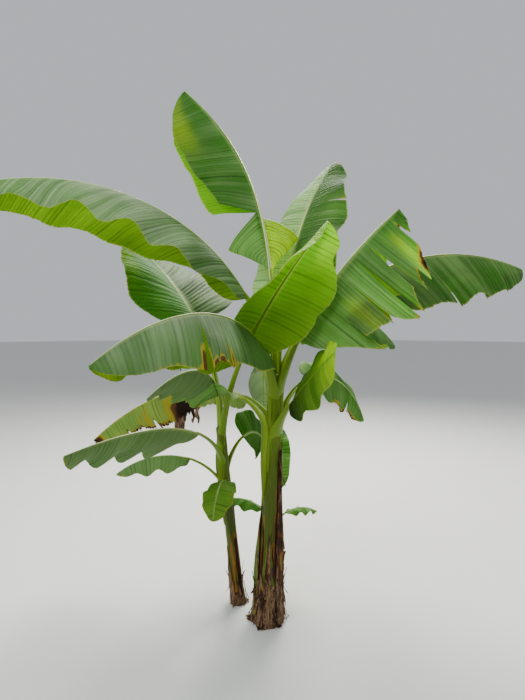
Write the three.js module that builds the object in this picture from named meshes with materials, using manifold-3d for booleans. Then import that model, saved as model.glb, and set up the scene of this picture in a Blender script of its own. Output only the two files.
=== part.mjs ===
// A banana plant: one clump of three stems made of wrapped leaf sheaths, with long
// paddle-shaped leaves that arch, hang and tear. Millimetres, +Z up, origin on the
// ground under the main stem, +X to the right and +Y away as the plant is looked at.
import * as THREE from "three";
import Module from "manifold-3d";

const wasm = await Module();
wasm.setup();

const RAD = Math.PI / 180;
const GAP = 0.75; // clearance between neighbouring pieces
const THINNESS = 100; // a blade is as thick as its length over this
const VEIN_SWEEP = 10; // degrees that the side veins lean towards the tip
const MIDRIB_STEPS = 120;
const COLUMNS = [0, 0.1, 0.5, 1]; // lines along the blade, as shares of its half width
const TEAR_REACH = 0.14; // share of the blade's length that a tear pulls aside
const FLARE_HEIGHT = 60; // height over which a stem's root flare dies away
const RIDGE = { height: 0.07, spread: 40, from: 420, to: 60 }; // the stem's swelling under a leaf

// foot and lean are offsets in the ground plane; radii at the foot and the top.
const STEMS = {
  main: {
    foot: [0, 0], lean: [35, 0], height: 1215,
    footRadius: 74, topRadius: 34, flare: 8, sides: 16, rows: 20,
  },
  second: {
    foot: [-150, 140], lean: [-90, -15], height: 930,
    footRadius: 34, topRadius: 24, flare: 6, sides: 12, rows: 14,
  },
  small: {
    foot: [26, 102], lean: [14, 128], height: 440,
    footRadius: 24, topRadius: 14, flare: 4, sides: 10, rows: 8,
  },
};

// One leaf: it leaves its stem at height z, out from the axis, in the compass
// direction heading (0 is +X, 90 is +Y). Along its length the heading turns by swing,
// and its slope goes from rise to dip as (share of length) ^ bend. stalk and blade are
// lengths, width is the blade's full width. roll and twist turn the blade round its
// midrib, fold lifts each half from the level, sag curves it down towards its edge.
// A neck is the share of the blade over which it widens from a narrow foot, and share
// makes its left and right halves narrower or wider.
// A tear is [side, place along the blade, depth kept at the midrib, opening, droop].
const LEAVES = {
  top: {
    stem: "main", z: 1180, out: 6, heading: 96, swing: 85, rise: 86, dip: 39, bend: 1.85,
    stalk: 390, blade: 1200, width: 640, share: [0.93, 1.04], neck: 0.42, root: 19,
    roll: 4, twist: -4, fold: [-80, -70], sag: [12, 17], firstDroop: [-20, -85],
    tears: [["L", 0.36, 0.1, 70, 0], ["R", 0.36, 0.1, 60, 0]],
  },
  upper_right: {
    stem: "main", z: 1180, out: 26, heading: 77, swing: -31, rise: 75, dip: 46, bend: 1,
    stalk: 350, blade: 1050, width: 500, root: 18,
    roll: 3, twist: 2, fold: [7, 10], sag: [33, 31],
    tears: [["R", 0.62, 0.5, 25, 0]],
  },
  left_arch: {
    stem: "main", z: 1165, out: 24, heading: 181, swing: 34, rise: 88, dip: -27, bend: 1.02,
    stalk: 420, blade: 1380, width: 540, root: 22, wave: 25, waves: 5,
    roll: -2, twist: 0, fold: [-27, -29], sag: [28, 30],
  },
  right_far: {
    stem: "main", z: 1185, out: 28, heading: 17, swing: 8, rise: 85, dip: -15, bend: 0.56,
    stalk: 600, blade: 1220, width: 630, root: 20,
    roll: 8, twist: -7, fold: [-20, -49], sag: [40, 20],
    tears: [["R", 0.36, 0.5, 30, 0], ["R", 0.58, 0.1, 24, 6], ["R", 0.78, 0.5, 20, 6]],
  },
  front_left: {
    stem: "main", z: 1130, out: 32, heading: 253, swing: -28, rise: 66, dip: -38, bend: 0.88,
    stalk: 295, blade: 930, width: 530, skew: 0.6, root: 20,
    roll: -9, twist: 0, fold: [-46, -35], sag: [22, 40],
    tears: [["L", 0.3, 0.1, 26, -6], ["L", 0.46, 0.1, 30, 4]],
  },
  right_torn: {
    stem: "main", z: 1135, out: 28, heading: 314, swing: 51, rise: 68, dip: 40, bend: 1.26,
    stalk: 260, blade: 730, width: 740, root: 20,
    roll: -12, twist: -20, fold: [-68, -32], sag: [5, 5],
    tears: [
      ["R", 0.3, 0.1, 40, 0], ["R", 0.48, 0.1, 46, -6], ["R", 0.66, 0.1, 50, 8],
      ["R", 0.82, 0.1, 40, 0], ["L", 0.4, 0.1, 40, 6], ["L", 0.7, 0.1, 40, -4],
    ],
  },
  back_left: {
    stem: "main", z: 1110, out: 30, heading: 120, swing: 12, rise: 76, dip: -48, bend: 0.72,
    stalk: 290, blade: 860, width: 430, root: 19,
    roll: 0, twist: 0, fold: [-28, -24], sag: [34, 34],
    tears: [["L", 0.55, 0.1, 30, 5]],
  },
  back_right: {
    stem: "main", z: 1130, out: 30, heading: 52, swing: -12, rise: 76, dip: -40, bend: 0.75,
    stalk: 340, blade: 960, width: 450, root: 19,
    roll: 0, twist: 0, fold: [-34, -28], sag: [34, 34],
    tears: [["R", 0.5, 0.1, 30, 5]],
  },
  back: {
    stem: "main", z: 1060, out: 32, heading: 99, swing: -12, rise: 71, dip: -82, bend: 0.82,
    stalk: 280, blade: 750, width: 320, root: 17,
    roll: 5, twist: 5, fold: [-25, -20], sag: [45, 40],
  },
  old_yellow: {
    stem: "main", z: 950, out: 30, heading: 137, swing: 41, rise: 82, dip: -44, bend: 0.4,
    stalk: 190, blade: 1060, width: 380, root: 22,
    roll: 15, twist: -13, fold: [-75, -40], sag: [54, 30],
    tears: [["L", 0.62, 0.5, 24, 0], ["L", 0.8, 0.5, 24, 0]],
  },
  low_right: {
    stem: "main", z: 945, out: 30, heading: 297, swing: 1, rise: 63, dip: 32, bend: 0.35,
    stalk: 195, blade: 415, width: 320, root: 15,
    roll: -30, twist: -12, fold: [25, -16], sag: [17, 40],
  },
  low_back_right: {
    stem: "main", z: 920, out: 30, heading: 55, swing: -17, rise: 79, dip: -68, bend: 0.78,
    stalk: 380, blade: 650, width: 310, root: 15,
    roll: -27, twist: -21, fold: [8, -20], sag: [17, 38],
    tears: [["R", 0.6, 0.5, 24, 0]],
  },
  front_bright: {
    stem: "second", z: 885, out: 12, heading: 287, swing: 56, rise: 72, dip: 50, bend: 0.35,
    stalk: 530, blade: 655, width: 440, skew: 0.92, root: 15,
    roll: 42, twist: -25, fold: [-16, -22], sag: [43, 42],
  },
  left_back: {
    stem: "second", z: 870, out: 14, heading: 116, swing: 57, rise: 96, dip: 36, bend: 0.6,
    stalk: 620, blade: 650, width: 690, root: 15,
    roll: 7, twist: -33, fold: [10, 19], sag: [39, 13],
  },
  left_small: {
    stem: "second", z: 860, out: 15, heading: 274, swing: -40, rise: 95, dip: -35, bend: 0.86,
    stalk: 235, blade: 675, width: 340, neck: 0.12, root: 13,
    roll: 25, twist: 20, fold: [-70, -75], sag: [50, 20], firstDroop: [-100, 0],
    tears: [["L", 0.24, 0.1, 16, 0]],
  },
  low_left: {
    stem: "second", z: 730, out: 16, heading: 252, swing: -20, rise: 83, dip: -10, bend: 0.4,
    stalk: 330, blade: 730, width: 400, root: 13,
    roll: 22, twist: -10, fold: [-91, -40], sag: [57, 30],
  },
  dark_right: {
    stem: "second", z: 710, out: 15, heading: 52, swing: 7, rise: 66, dip: -80, bend: 1.28,
    stalk: 190, blade: 285, width: 280, root: 11,
    roll: -35, twist: -21, fold: [21, -14], sag: [14, 44],
  },
  lowest_left: {
    stem: "second", z: 625, out: 16, heading: 198, swing: 4, rise: 60, dip: -36, bend: 1,
    stalk: 230, blade: 375, width: 160, root: 11,
    roll: -2, twist: 3, fold: [-38, -30], sag: [29, 30],
  },
  front_low: {
    stem: "second", z: 640, out: 14, heading: 263, swing: -4, rise: 42, dip: -73, bend: 0.87,
    stalk: 70, blade: 260, width: 170, root: 9,
    roll: -3, twist: -4, fold: [-3, -6], sag: [24, 27],
  },
  small_up: {
    stem: "small", z: 410, out: 4, heading: 75, swing: 10, rise: 84, dip: 35, bend: 1.2,
    stalk: 150, blade: 360, width: 140, root: 9,
    roll: 0, twist: 0, fold: [20, 20], sag: [30, 30],
  },
  small_right: {
    stem: "small", z: 380, out: 8, heading: 20, swing: -5, rise: 68, dip: -35, bend: 0.8,
    stalk: 80, blade: 190, width: 90, root: 8,
    roll: 0, twist: 0, fold: [-10, -10], sag: [35, 35],
  },
  small_back: {
    stem: "small", z: 365, out: 8, heading: 140, swing: 10, rise: 65, dip: -35, bend: 0.8,
    stalk: 110, blade: 300, width: 120, root: 8,
    roll: 0, twist: 0, fold: [-15, -15], sag: [35, 35],
  },
};

// Old sheaths that have come loose round the foot of a stem, as strips that follow it.
// spread is half their width in degrees, stand is how far their middle stands off.
const SHEATHS = {
  sheath_left: { stem: "main", heading: 170, spread: 50, from: 40, to: 640, thick: 9, stand: 12 },
  sheath_front: { stem: "main", heading: 260, spread: 33, from: 0, to: 370, thick: 8, stand: 4 },
  sheath_right: { stem: "main", heading: 332, spread: 34, from: 30, to: 900, thick: 8, stand: 9 },
  sheath_second: { stem: "second", heading: 200, spread: 50, from: 0, to: 300, thick: 6, stand: 5 },
};

const LOOKS = {
  young: new THREE.MeshStandardMaterial({ color: 0x8fb52c, roughness: 0.55 }),
  mature: new THREE.MeshStandardMaterial({ color: 0x5f8a35, roughness: 0.5 }),
  grey: new THREE.MeshStandardMaterial({ color: 0x7d9468, roughness: 0.5 }),
  old: new THREE.MeshStandardMaterial({ color: 0x9a9a3f, roughness: 0.7 }),
  stalk: new THREE.MeshStandardMaterial({ color: 0x93a862, roughness: 0.5 }),
  stem: new THREE.MeshStandardMaterial({ color: 0x6f7f45, roughness: 0.6 }),
  dead: new THREE.MeshStandardMaterial({ color: 0x5a4632, roughness: 0.9 }),
};

// The blades that aren't of the mature green.
const BLADE_LOOKS = {
  front_bright: "young",
  low_right: "young",
  front_low: "young",
  old_yellow: "old",
  left_arch: "grey",
  upper_right: "grey",
};

const mix = (a, b, f) => a + (b - a) * f;
const clamp = (x, lo, hi) => Math.min(hi, Math.max(lo, x));
const smooth = (lo, hi, x) => {
  const f = clamp((x - lo) / (hi - lo), 0, 1);
  return f * f * (3 - 2 * f);
};

// Solids

function solid(points, faces) {
  const made = new wasm.Manifold(
    new wasm.Mesh({
      numProp: 3,
      vertProperties: new Float32Array(points.flatMap((p) => [p.x, p.y, p.z])),
      triVerts: new Uint32Array(faces),
    }),
  );
  if (made.volume() <= 0) throw new Error("a solid is inside out");
  return made;
}

// A closed solid from rings of points, one ring after another up the piece.
function loft(rings) {
  const n = rings[0].length;
  const points = rings.flat();
  const faces = [];
  for (let i = 0; i + 1 < rings.length; i++) {
    for (let j = 0; j < n; j++) {
      const a = i * n + j;
      const b = i * n + ((j + 1) % n);
      faces.push(a, b, b + n, a, b + n, a + n);
    }
  }
  for (const [row, flip] of [[0, true], [rings.length - 1, false]]) {
    const centre = new THREE.Vector3();
    for (const p of rings[row]) centre.add(p);
    points.push(centre.divideScalar(n));
    const c = points.length - 1;
    for (let j = 0; j < n; j++) {
      const a = row * n + j;
      const b = row * n + ((j + 1) % n);
      if (flip) faces.push(c, b, a);
      else faces.push(c, a, b);
    }
  }
  return solid(points, faces);
}

// A closed solid from the four-cornered cells of a sheet. upper and lower give the
// points of a corner on the two faces, and every open edge gets a side wall.
function sheet(cells, upper, lower) {
  const index = new Map();
  const points = [];
  for (const key of new Set(cells.flat())) {
    index.set(key, points.length / 2);
    points.push(upper(key), lower(key));
  }
  const at = (key, side) => index.get(key) * 2 + side;
  const faces = [];
  const edges = new Set();
  for (const cell of cells) cell.forEach((a, k) => edges.add(a + ">" + cell[(k + 1) % 4]));
  for (const [a, b, c, d] of cells) {
    faces.push(at(a, 0), at(b, 0), at(c, 0), at(a, 0), at(c, 0), at(d, 0));
    faces.push(at(a, 1), at(c, 1), at(b, 1), at(a, 1), at(d, 1), at(c, 1));
  }
  for (const edge of edges) {
    const [a, b] = edge.split(">");
    if (edges.has(b + ">" + a)) continue;
    faces.push(at(b, 0), at(a, 0), at(a, 1), at(b, 0), at(a, 1), at(b, 1));
  }
  return solid(points, faces);
}

const largest = (whole) => whole.decompose().sort((a, b) => b.volume() - a.volume())[0];

// Stems

function stemAxis(stem, z) {
  const f = z / stem.height;
  return new THREE.Vector3(stem.foot[0] + stem.lean[0] * f, stem.foot[1] + stem.lean[1] * f, z);
}

// A stem swells to its foot, and stands a little proud under each leaf it carries.
function stemRadius(name, z, angle) {
  const stem = STEMS[name];
  const left = 1 - clamp(z / stem.height, 0, 1);
  let r = stem.topRadius + (stem.footRadius - stem.topRadius) * left * left;
  r += stem.flare * Math.exp(-z / FLARE_HEIGHT);
  for (const leaf of Object.values(LEAVES)) {
    if (leaf.stem !== name) continue;
    const turn = ((((angle / RAD - leaf.heading) % 360) + 540) % 360) - 180;
    const off = turn / RIDGE.spread;
    const grown = smooth(leaf.z - RIDGE.from, leaf.z - RIDGE.to, z);
    r += RIDGE.height * stem.topRadius * Math.exp(-off * off) * grown;
  }
  return r;
}

function stemSolid(name, grow = 0) {
  const stem = STEMS[name];
  const cap = { drop: 14, share: 0.62 };
  const rings = [];
  for (let i = 0; i <= stem.rows + 1; i++) {
    const last = i > stem.rows;
    const z = last ? stem.height + grow : (i / stem.rows) * (stem.height - cap.drop);
    const axis = stemAxis(stem, z);
    const ring = [];
    for (let k = 0; k < stem.sides; k++) {
      const a = (k / stem.sides) * 2 * Math.PI;
      const r = (stemRadius(name, z, a) + grow) * (last ? cap.share : 1);
      ring.push(new THREE.Vector3(axis.x + r * Math.cos(a), axis.y + r * Math.sin(a), z));
    }
    rings.push(ring);
  }
  return loft(rings);
}

// A loose sheath narrows as it goes up, and bellies away from the stem between its ends.
function sheathSolid(s) {
  const stem = STEMS[s.stem];
  const across = 5;
  const rows = Math.max(4, Math.round((s.to - s.from) / 75));
  const cells = [];
  for (let i = 0; i < rows; i++) {
    for (let j = 0; j < across; j++) {
      cells.push([`${i},${j}`, `${i},${j + 1}`, `${i + 1},${j + 1}`, `${i + 1},${j}`]);
    }
  }
  const place = (key, outer) => {
    const [i, j] = key.split(",").map(Number);
    const f = i / rows;
    const z = mix(s.from, s.to, f);
    const share = 2 * (j / across) - 1;
    const a = (s.heading + share * s.spread * mix(1, 0.35, f * f)) * RAD;
    const belly = Math.sin(Math.PI * Math.min(1, f * 1.15)) ** 2 * (1 - share * share * 0.6);
    const stand = GAP / 2 + s.stand * belly;
    const r = stemRadius(s.stem, z, a) + stand + (outer ? s.thick * mix(1, 0.6, f) : 0);
    const axis = stemAxis(stem, z);
    return new THREE.Vector3(axis.x + r * Math.cos(a), axis.y + r * Math.sin(a), z);
  };
  return sheet(cells, (k) => place(k, true), (k) => place(k, false));
}

// Leaves

// The midrib as a walk of short steps whose direction turns from rise to dip. The
// function it gives back answers a distance along the leaf with the place there.
function midrib(leaf) {
  const length = leaf.stalk + leaf.blade;
  const direction = (s) => {
    const up = (leaf.rise + (leaf.dip - leaf.rise) * s ** leaf.bend) * RAD;
    const turn = (leaf.heading + leaf.swing * s) * RAD;
    return {
      along: new THREE.Vector3(Math.cos(up) * Math.cos(turn), Math.cos(up) * Math.sin(turn), Math.sin(up)),
      side: new THREE.Vector3(Math.sin(turn), -Math.cos(turn), 0),
    };
  };
  const p = stemAxis(STEMS[leaf.stem], leaf.z);
  p.x += leaf.out * Math.cos(leaf.heading * RAD);
  p.y += leaf.out * Math.sin(leaf.heading * RAD);
  const points = [p.clone()];
  for (let i = 0; i < MIDRIB_STEPS; i++) {
    p.addScaledVector(direction((i + 0.5) / MIDRIB_STEPS).along, length / MIDRIB_STEPS);
    points.push(p.clone());
  }
  return (distance) => {
    const s = clamp(distance / length, 0, 1);
    const at = Math.min(s * MIDRIB_STEPS, MIDRIB_STEPS - 1e-9);
    const i = Math.floor(at);
    const { along, side } = direction(s);
    const t = (distance - leaf.stalk) / leaf.blade;
    const turned = t > 0 ? leaf.roll + leaf.twist * t : leaf.roll * clamp(distance / leaf.stalk, 0, 1);
    const roll = turned * RAD;
    const up = new THREE.Vector3().crossVectors(side, along);
    return {
      point: points[i].clone().lerp(points[i + 1], at - i),
      along,
      side: side.clone().multiplyScalar(Math.cos(roll)).addScaledVector(up, Math.sin(roll)),
      up: up.clone().multiplyScalar(Math.cos(roll)).addScaledVector(side, -Math.sin(roll)),
    };
  };
}

// A grooved stalk that is widest where its sheath clasps the stem.
function stalkSolid(leaf, grow = 0) {
  const shape = { sides: 8, row: 60, taper: 0.62, wide: [1.2, 1], high: [0.85, 0.95], groove: 0.55 };
  const along = midrib(leaf);
  const rows = Math.max(5, Math.round(leaf.stalk / shape.row));
  const rings = [];
  for (let i = 0; i <= rows; i++) {
    const f = i / rows;
    const { point, side, up, along: ahead } = along(f * leaf.stalk);
    if (i === 0) point.addScaledVector(ahead, -6 * grow);
    const r = leaf.root * mix(1, shape.taper, f ** 0.7);
    const ring = [];
    for (let k = 0; k < shape.sides; k++) {
      const a = (k / shape.sides) * 2 * Math.PI;
      const depth = k === shape.sides / 4 ? shape.groove : 1;
      const w = r * mix(...shape.wide, f) + grow;
      const h = r * mix(...shape.high, f) * depth + grow;
      const corner = point.clone().addScaledVector(side, w * Math.cos(a));
      ring.push(corner.addScaledVector(up, h * Math.sin(a)));
    }
    rings.push(ring.reverse());
  }
  return loft(rings);
}

// Half width as a share of the widest: full towards the base, finer at the tip.
function profile(t, skew) {
  const x = 2 * clamp(t, 0, 1) ** skew - 1;
  const n = x < 0 ? 2.6 : 1.75;
  return (1 - Math.abs(x) ** n) ** (1 / n);
}

// One half of a blade's section, from the midrib out: a curve of even length w that
// starts at the angle fold and turns down by sag. v is the share of the way out.
function section(fold, sag, w, v) {
  const end = fold - sag * v;
  return [((Math.sin(fold) - Math.sin(end)) / sag) * w, ((Math.cos(end) - Math.cos(fold)) / sag) * w];
}

function turned([x, z], [x0, z0], angle) {
  const [dx, dz] = [x - x0, z - z0];
  return [
    x0 + dx * Math.cos(angle) - dz * Math.sin(angle),
    z0 + dx * Math.sin(angle) + dz * Math.cos(angle),
  ];
}

// The places along the blade that get a row of corners: even steps, and each tear.
function bladeRows(leaf) {
  const { waves = 3, tears = [] } = leaf;
  const steps = Math.max(8, 4 * waves, Math.round(leaf.blade / 85));
  const rows = [...Array(steps + 1).keys()].map((i) => i / steps);
  for (const [, place] of tears) {
    const near = rows.findIndex((t) => Math.abs(t - place) < 0.35 / steps);
    if (near > 0) rows.splice(near, 1);
    rows.push(place);
  }
  return rows.sort((a, b) => a - b);
}

// A blade has a thick keel under its midrib and waves along its edges. The strips
// between two tears are pulled apart and each hangs by an angle of its own.
function bladeSolid(leaf) {
  const along = midrib(leaf);
  const { wave = 12, waves = 3, skew = 0.8, neck = 0, tears = [] } = leaf;
  const { share = [1, 1], firstDroop = [0, 0] } = leaf;
  const thick = leaf.blade / THINNESS;
  const apart = 0.2; // least distance of the lower face from the plane between the halves
  const rows = bladeRows(leaf);
  const sideOf = (line) => (line < 0 ? "L" : "R");
  const strip = (side, t) => tears.filter(([s, place]) => s === side && place < t).length;
  const key = (i, line, side, number) => {
    const tear = tears.find(([s, place]) => s === side && place === rows[i]);
    const torn = tear && COLUMNS[Math.abs(line)] > tear[2] + 1e-6;
    return `${i},${line},${torn ? number : -1}`;
  };
  const lines = [-3, -2, -1, 0, 1, 2, 3];
  const cells = [];
  for (let i = 0; i + 1 < rows.length; i++) {
    for (let j = 0; j + 1 < lines.length; j++) {
      const side = sideOf(lines[j]);
      const number = strip(side, (rows[i] + rows[i + 1]) / 2);
      const corners = [[i, j], [i, j + 1], [i + 1, j + 1], [i + 1, j]];
      cells.push(corners.map(([row, column]) => key(row, lines[column], side, number)));
    }
  }
  const place = (name, face) => {
    const [i, line, torn] = name.split(",").map(Number);
    const sign = line < 0 ? -1 : 1;
    const half = line < 0 ? 0 : 1;
    const u = COLUMNS[Math.abs(line)];
    const own = tears.filter(([s]) => s === sideOf(line));
    let t = rows[i];
    const number = torn >= 0 ? torn : strip(sideOf(line), t);
    own.forEach(([, at, kept, opening], k) => {
      if (u <= kept) return;
      const near = Math.max(0, 1 - Math.abs(rows[i] - at) / TEAR_REACH);
      const pull = (opening / 2 / leaf.blade) * ((u - kept) / (1 - kept)) * near;
      t += number > k ? pull : -pull;
    });
    const frame = along(leaf.stalk + GAP + clamp(t, 0, 1) * (leaf.blade - GAP));
    const full = (leaf.width / 2) * share[half] * profile(t, skew) * smooth(0, neck + 1e-6, t);
    const w = Math.max(leaf.root * 0.55, full);
    const fold = leaf.fold[half] * RAD;
    const sag = leaf.sag[half] * RAD + 1e-4;
    let [x, z] = section(fold, sag, w, u);
    let lean = line === 0 ? 0 : fold - sag * u;
    if (u > COLUMNS[1]) {
      const droop = (number > 0 ? own[number - 1][4] : firstDroop[half]) * RAD;
      [x, z] = turned([x, z], section(fold, sag, w, COLUMNS[1]), -droop);
      lean -= droop;
    }
    const swell = Math.sin(2 * Math.PI * (waves * t + 0.2 * half));
    z += wave * u * u * swell * Math.min(1, (2.4 * w) / leaf.width);
    const keel = mix(leaf.root, thick * 0.6, t ** 0.7);
    const off = face > 0 ? thick / 2 : -(line === 0 ? keel : thick / 2);
    const out = Math.max(x - off * Math.sin(lean), Math.min(x, apart));
    return frame.point
      .addScaledVector(frame.side, sign * out)
      .addScaledVector(frame.up, z + off * Math.cos(lean))
      .addScaledVector(frame.along, w * u * Math.tan(VEIN_SWEEP * RAD));
  };
  return sheet(cells, (k) => place(k, 1), (k) => place(k, -1));
}

// The plant

const plant = new THREE.Group();

function add(name, made, look) {
  const { vertProperties, triVerts } = made.getMesh();
  const geometry = new THREE.BufferGeometry();
  geometry.setAttribute("position", new THREE.BufferAttribute(new Float32Array(vertProperties), 3));
  geometry.setIndex(new THREE.BufferAttribute(new Uint32Array(triVerts), 1));
  geometry.computeVertexNormals();
  const mesh = new THREE.Mesh(geometry, LOOKS[look]);
  mesh.name = name;
  plant.add(mesh);
}

function cutBy(whole, others) {
  let rest = whole;
  for (const other of others) rest = rest.subtract(other);
  return largest(rest);
}

// The small stem leans against the main one, which presses a flat into its foot.
const grown = Object.fromEntries(Object.keys(STEMS).map((name) => [name, stemSolid(name, GAP)]));
add("pseudostem_main", stemSolid("main"), "stem");
add("pseudostem_second", stemSolid("second"), "stem");
add("pseudostem_small", cutBy(stemSolid("small"), [grown.main]), "stem");

for (const [name, s] of Object.entries(SHEATHS)) {
  add(name, cutBy(sheathSolid(s), Object.values(grown)), "dead");
}

// Each stalk gives way to the stems and to the stalks before it.
const keepClear = Object.values(grown);
for (const [name, leaf] of Object.entries(LEAVES)) {
  add(`stalk_${name}`, cutBy(stalkSolid(leaf), keepClear), "stalk");
  keepClear.push(stalkSolid(leaf, GAP));
  add(`blade_${name}`, bladeSolid(leaf), BLADE_LOOKS[name] ?? "mature");
}

export default plant;
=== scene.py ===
import math

import bpy
import numpy as np
from bpy.props import FloatProperty, FloatVectorProperty, IntProperty, PointerProperty
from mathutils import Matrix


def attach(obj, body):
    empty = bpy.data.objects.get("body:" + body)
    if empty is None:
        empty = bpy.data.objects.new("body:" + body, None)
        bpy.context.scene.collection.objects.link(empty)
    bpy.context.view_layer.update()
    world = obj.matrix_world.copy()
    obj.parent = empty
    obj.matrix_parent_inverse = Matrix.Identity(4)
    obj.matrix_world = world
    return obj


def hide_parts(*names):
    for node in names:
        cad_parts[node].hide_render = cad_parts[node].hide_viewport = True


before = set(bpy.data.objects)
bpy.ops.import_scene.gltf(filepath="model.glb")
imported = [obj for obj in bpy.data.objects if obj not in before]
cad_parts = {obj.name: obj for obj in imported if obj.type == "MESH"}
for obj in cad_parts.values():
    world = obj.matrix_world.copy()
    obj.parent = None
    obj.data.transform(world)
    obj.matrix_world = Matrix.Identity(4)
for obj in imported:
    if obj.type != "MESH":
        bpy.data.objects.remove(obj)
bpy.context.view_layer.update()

# A banana plant: one clump of three stems made of wrapped leaf sheaths, with long leaves
# that arch, hang and tear. Every piece is a surface worked out as numpy arrays, in metres
# round the ground under the main stem: +X to the right and +Y away as it is looked at.

bl_info = {
    "name": "Banana Plant",
    "version": (1, 0, 0),
    "blender": (4, 5, 0),
    "location": "View3D > Sidebar > Banana",
    "description": "Builds a banana plant from its stems, old sheaths, leaf stalks and blades",
    "category": "Add Mesh",
}

MM = 0.001
HAIR = 1e-6  # a share too small to see, which keeps two equal places on the same side

# How finely the surfaces are divided. Rows are in mm, and the counts go round or across.
RANDOM_ROW = 1024  # random numbers in a row before they come round again
RANDOM_NET = 256  # the same over a plane, each way
STEM_ROW = 5.0
STEM_ROUND = 192
STEM_CAP = np.array([14, 9, 4, 0])  # how far the last rings lie under a stem's top
SHEATH_ROW = 4
SHEATH_ACROSS = 61
STRIP_GRID = (14, 4)  # rows and columns of a torn strip
RAG_GRID = (24, 6)
BLADE_ROW = 3.0
FEWEST_BLADE_ROWS = 40
MIDRIB_STEPS = 480
STALK_ROW = 7.0
STALK_ROUND = 32
FLOOR_ROUND = 64

# How stems are shaped. A leaf's ridge and its sheath lie below it: start and end are mm under
# the leaf between which the ridge grows, and the sheath narrows, to what it is at the leaf.
FLARE_HEIGHT = 60  # mm over which a stem's root flare dies away
RIDGE = dict(height=0.07, spread=40, start=420, end=60)  # height as a share of the top radius
WRAP = dict(low=165, high=30, start=620, end=-20, ragged=5, soft=2.5)  # degrees to each side
SHEATH_STEP = 0.05  # a wrapped sheath's thickness as a share of the stem's top radius
CAP_SHARE = 0.62  # how narrow the top closes in
GROUND_GAP = 4  # mm that torn strips stay above the ground

# How torn strips differ, as the least and the most of each: how far the free end curls out
# and swings round the stem in mm, how many radians it ripples, and how far it has withered.
STRIP_CURL = (2, 26)
STRIP_SWING = (-14, 14)
STRIP_RIPPLE = (3, 9)
STRIP_DRY = (0.78, 1.0)
STANDING = 0.35  # share of the strips that stand up instead of hanging

# Wrinkles in mm: (height, distance from one to the next round the stem, the same up it).
STEM_WRINKLES = [(0.5, 6, 240), (1.2, 45, 180)]
SHEATH_WRINKLES = [(1.2, 7, 160), (1.6, 24, 60)]

# How leaves are shaped.
HINGE = 0.1  # share of the half width that lies flat beside the midrib when a strip droops
COLUMNS = np.array([0, 0.035, 0.07, HINGE, 0.18, 0.28, 0.39, 0.5, 0.6, 0.7, 0.8, 0.88, 0.95, 1])
VEIN_SWEEP = 10  # degrees that the side veins lean towards the tip
FIRST_RIB = 200  # where the ribs start in the row of random numbers
TEAR_REACH = 0.14  # share of the blade's length that a tear pulls aside
TEAR_SOFT = 0.05  # the same over which the droop changes, where the blade isn't torn
LIP_REACH = 16  # mm beside a tear over which its lips curl
LIP_CURL = (-12, 6)  # mm, the least and the most
DRY_LIP = 4  # mm beside a tear that have withered
STALK_END = 0.995  # share of the whole leaf at which its midrib ends
STALK_TOP = 0.62  # how thick a stalk is where the blade begins, as a share of its root
MIDRIB_TIP = 0.1  # how thick the midrib is at the blade's tip, as a share of its start
STALK_WIDE = (1.2, 1)  # a stalk's half width as a share of its thickness, at root and blade
STALK_HIGH = (0.85, 0.95)  # the same for its half height
RAG_CRUMPLE = (4, 9)  # mm that a withered rag swings out, the least and the most
FINE_THICKNESS = 0.0012  # metres, of torn strips and rags

# How far apart a blade's random heights are in mm: along it, or along it and across it.
APART = dict(
    nick=17, fine_nick=5, rib=110, pleat=48, drape=(110, 90), margin=60, blotch=(120, 150),
    dry_margin=30, dry_spot=12, dry_lip=22,
)

# Millimetres and degrees. foot and lean are offsets in the ground plane, old is the height to
# which the foot has withered, and tone makes the whole stem paler or darker: the second stem's
# is painted shade.
# patches: (heading, half width, height, strength) of withered bands up from the ground.
STEMS = {
    "main": dict(
        foot=(0, 0), lean=(35, 0), height=1215, foot_radius=74, top_radius=34, flare=8, old=200,
        tone=0, patches=[(306, 16, 820, 0.64), (225, 14, 520, 0.62), (285, 14, 400, 0.6)],
    ),
    "second": dict(
        foot=(-150, 140), lean=(-90, -15), height=930, foot_radius=34, top_radius=24, flare=6, old=75,
        tone=-0.5, patches=[(305, 34, 440, 0.66), (258, 20, 380, 0.4), (200, 30, 300, 0.45)],
    ),
    "small": dict(
        foot=(26, 102), lean=(14, 128), height=440, foot_radius=24, top_radius=14, flare=4, old=70,
        tone=0, patches=[],
    ),
}

# Old sheaths that have come loose from a stem, between the heights start and end. spread is
# half their width in degrees, thick and stand are how thick they are and how far their middle
# stands off, rag how torn their edges are, and dead how far they have withered from green to
# brown. Higher up, only the share core of the half width has withered.
SHEATHS = {
    "sheath_left": dict(
        stem="main", heading=170, spread=50, start=40, end=640, thick=9, stand=12,
        rag=0.1, dead=0.12, core=1,
    ),
    "sheath_front": dict(
        stem="main", heading=262, spread=30, start=0, end=440, thick=8, stand=4,
        rag=0.3, dead=0.75, core=0.45,
    ),
    "sheath_right": dict(
        stem="main", heading=332, spread=34, start=30, end=900, thick=8, stand=9,
        rag=0.3, dead=0.6, core=1,
    ),
    "sheath_second": dict(
        stem="second", heading=200, spread=50, start=0, end=300, thick=6, stand=5,
        rag=0.3, dead=0.6, core=1,
    ),
}

# Torn strips of old sheath. foot is the height that each starts at, and length, width and
# heading are given as the least and the most. The main stem's count is for the user to set.
STRIPS = {
    "strips_main": dict(stem="main", seed=3, foot=(25, 240), length=(50, 170), width=(9, 28)),
    "strips_right": dict(
        stem="main", seed=11, foot=(560, 860), length=(150, 320), width=(10, 18),
        heading=(318, 348), count=5,
    ),
    "strips_second": dict(
        stem="second", seed=5, foot=(30, 150), length=(50, 120), width=(6, 14), count=16
    ),
}

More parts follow.
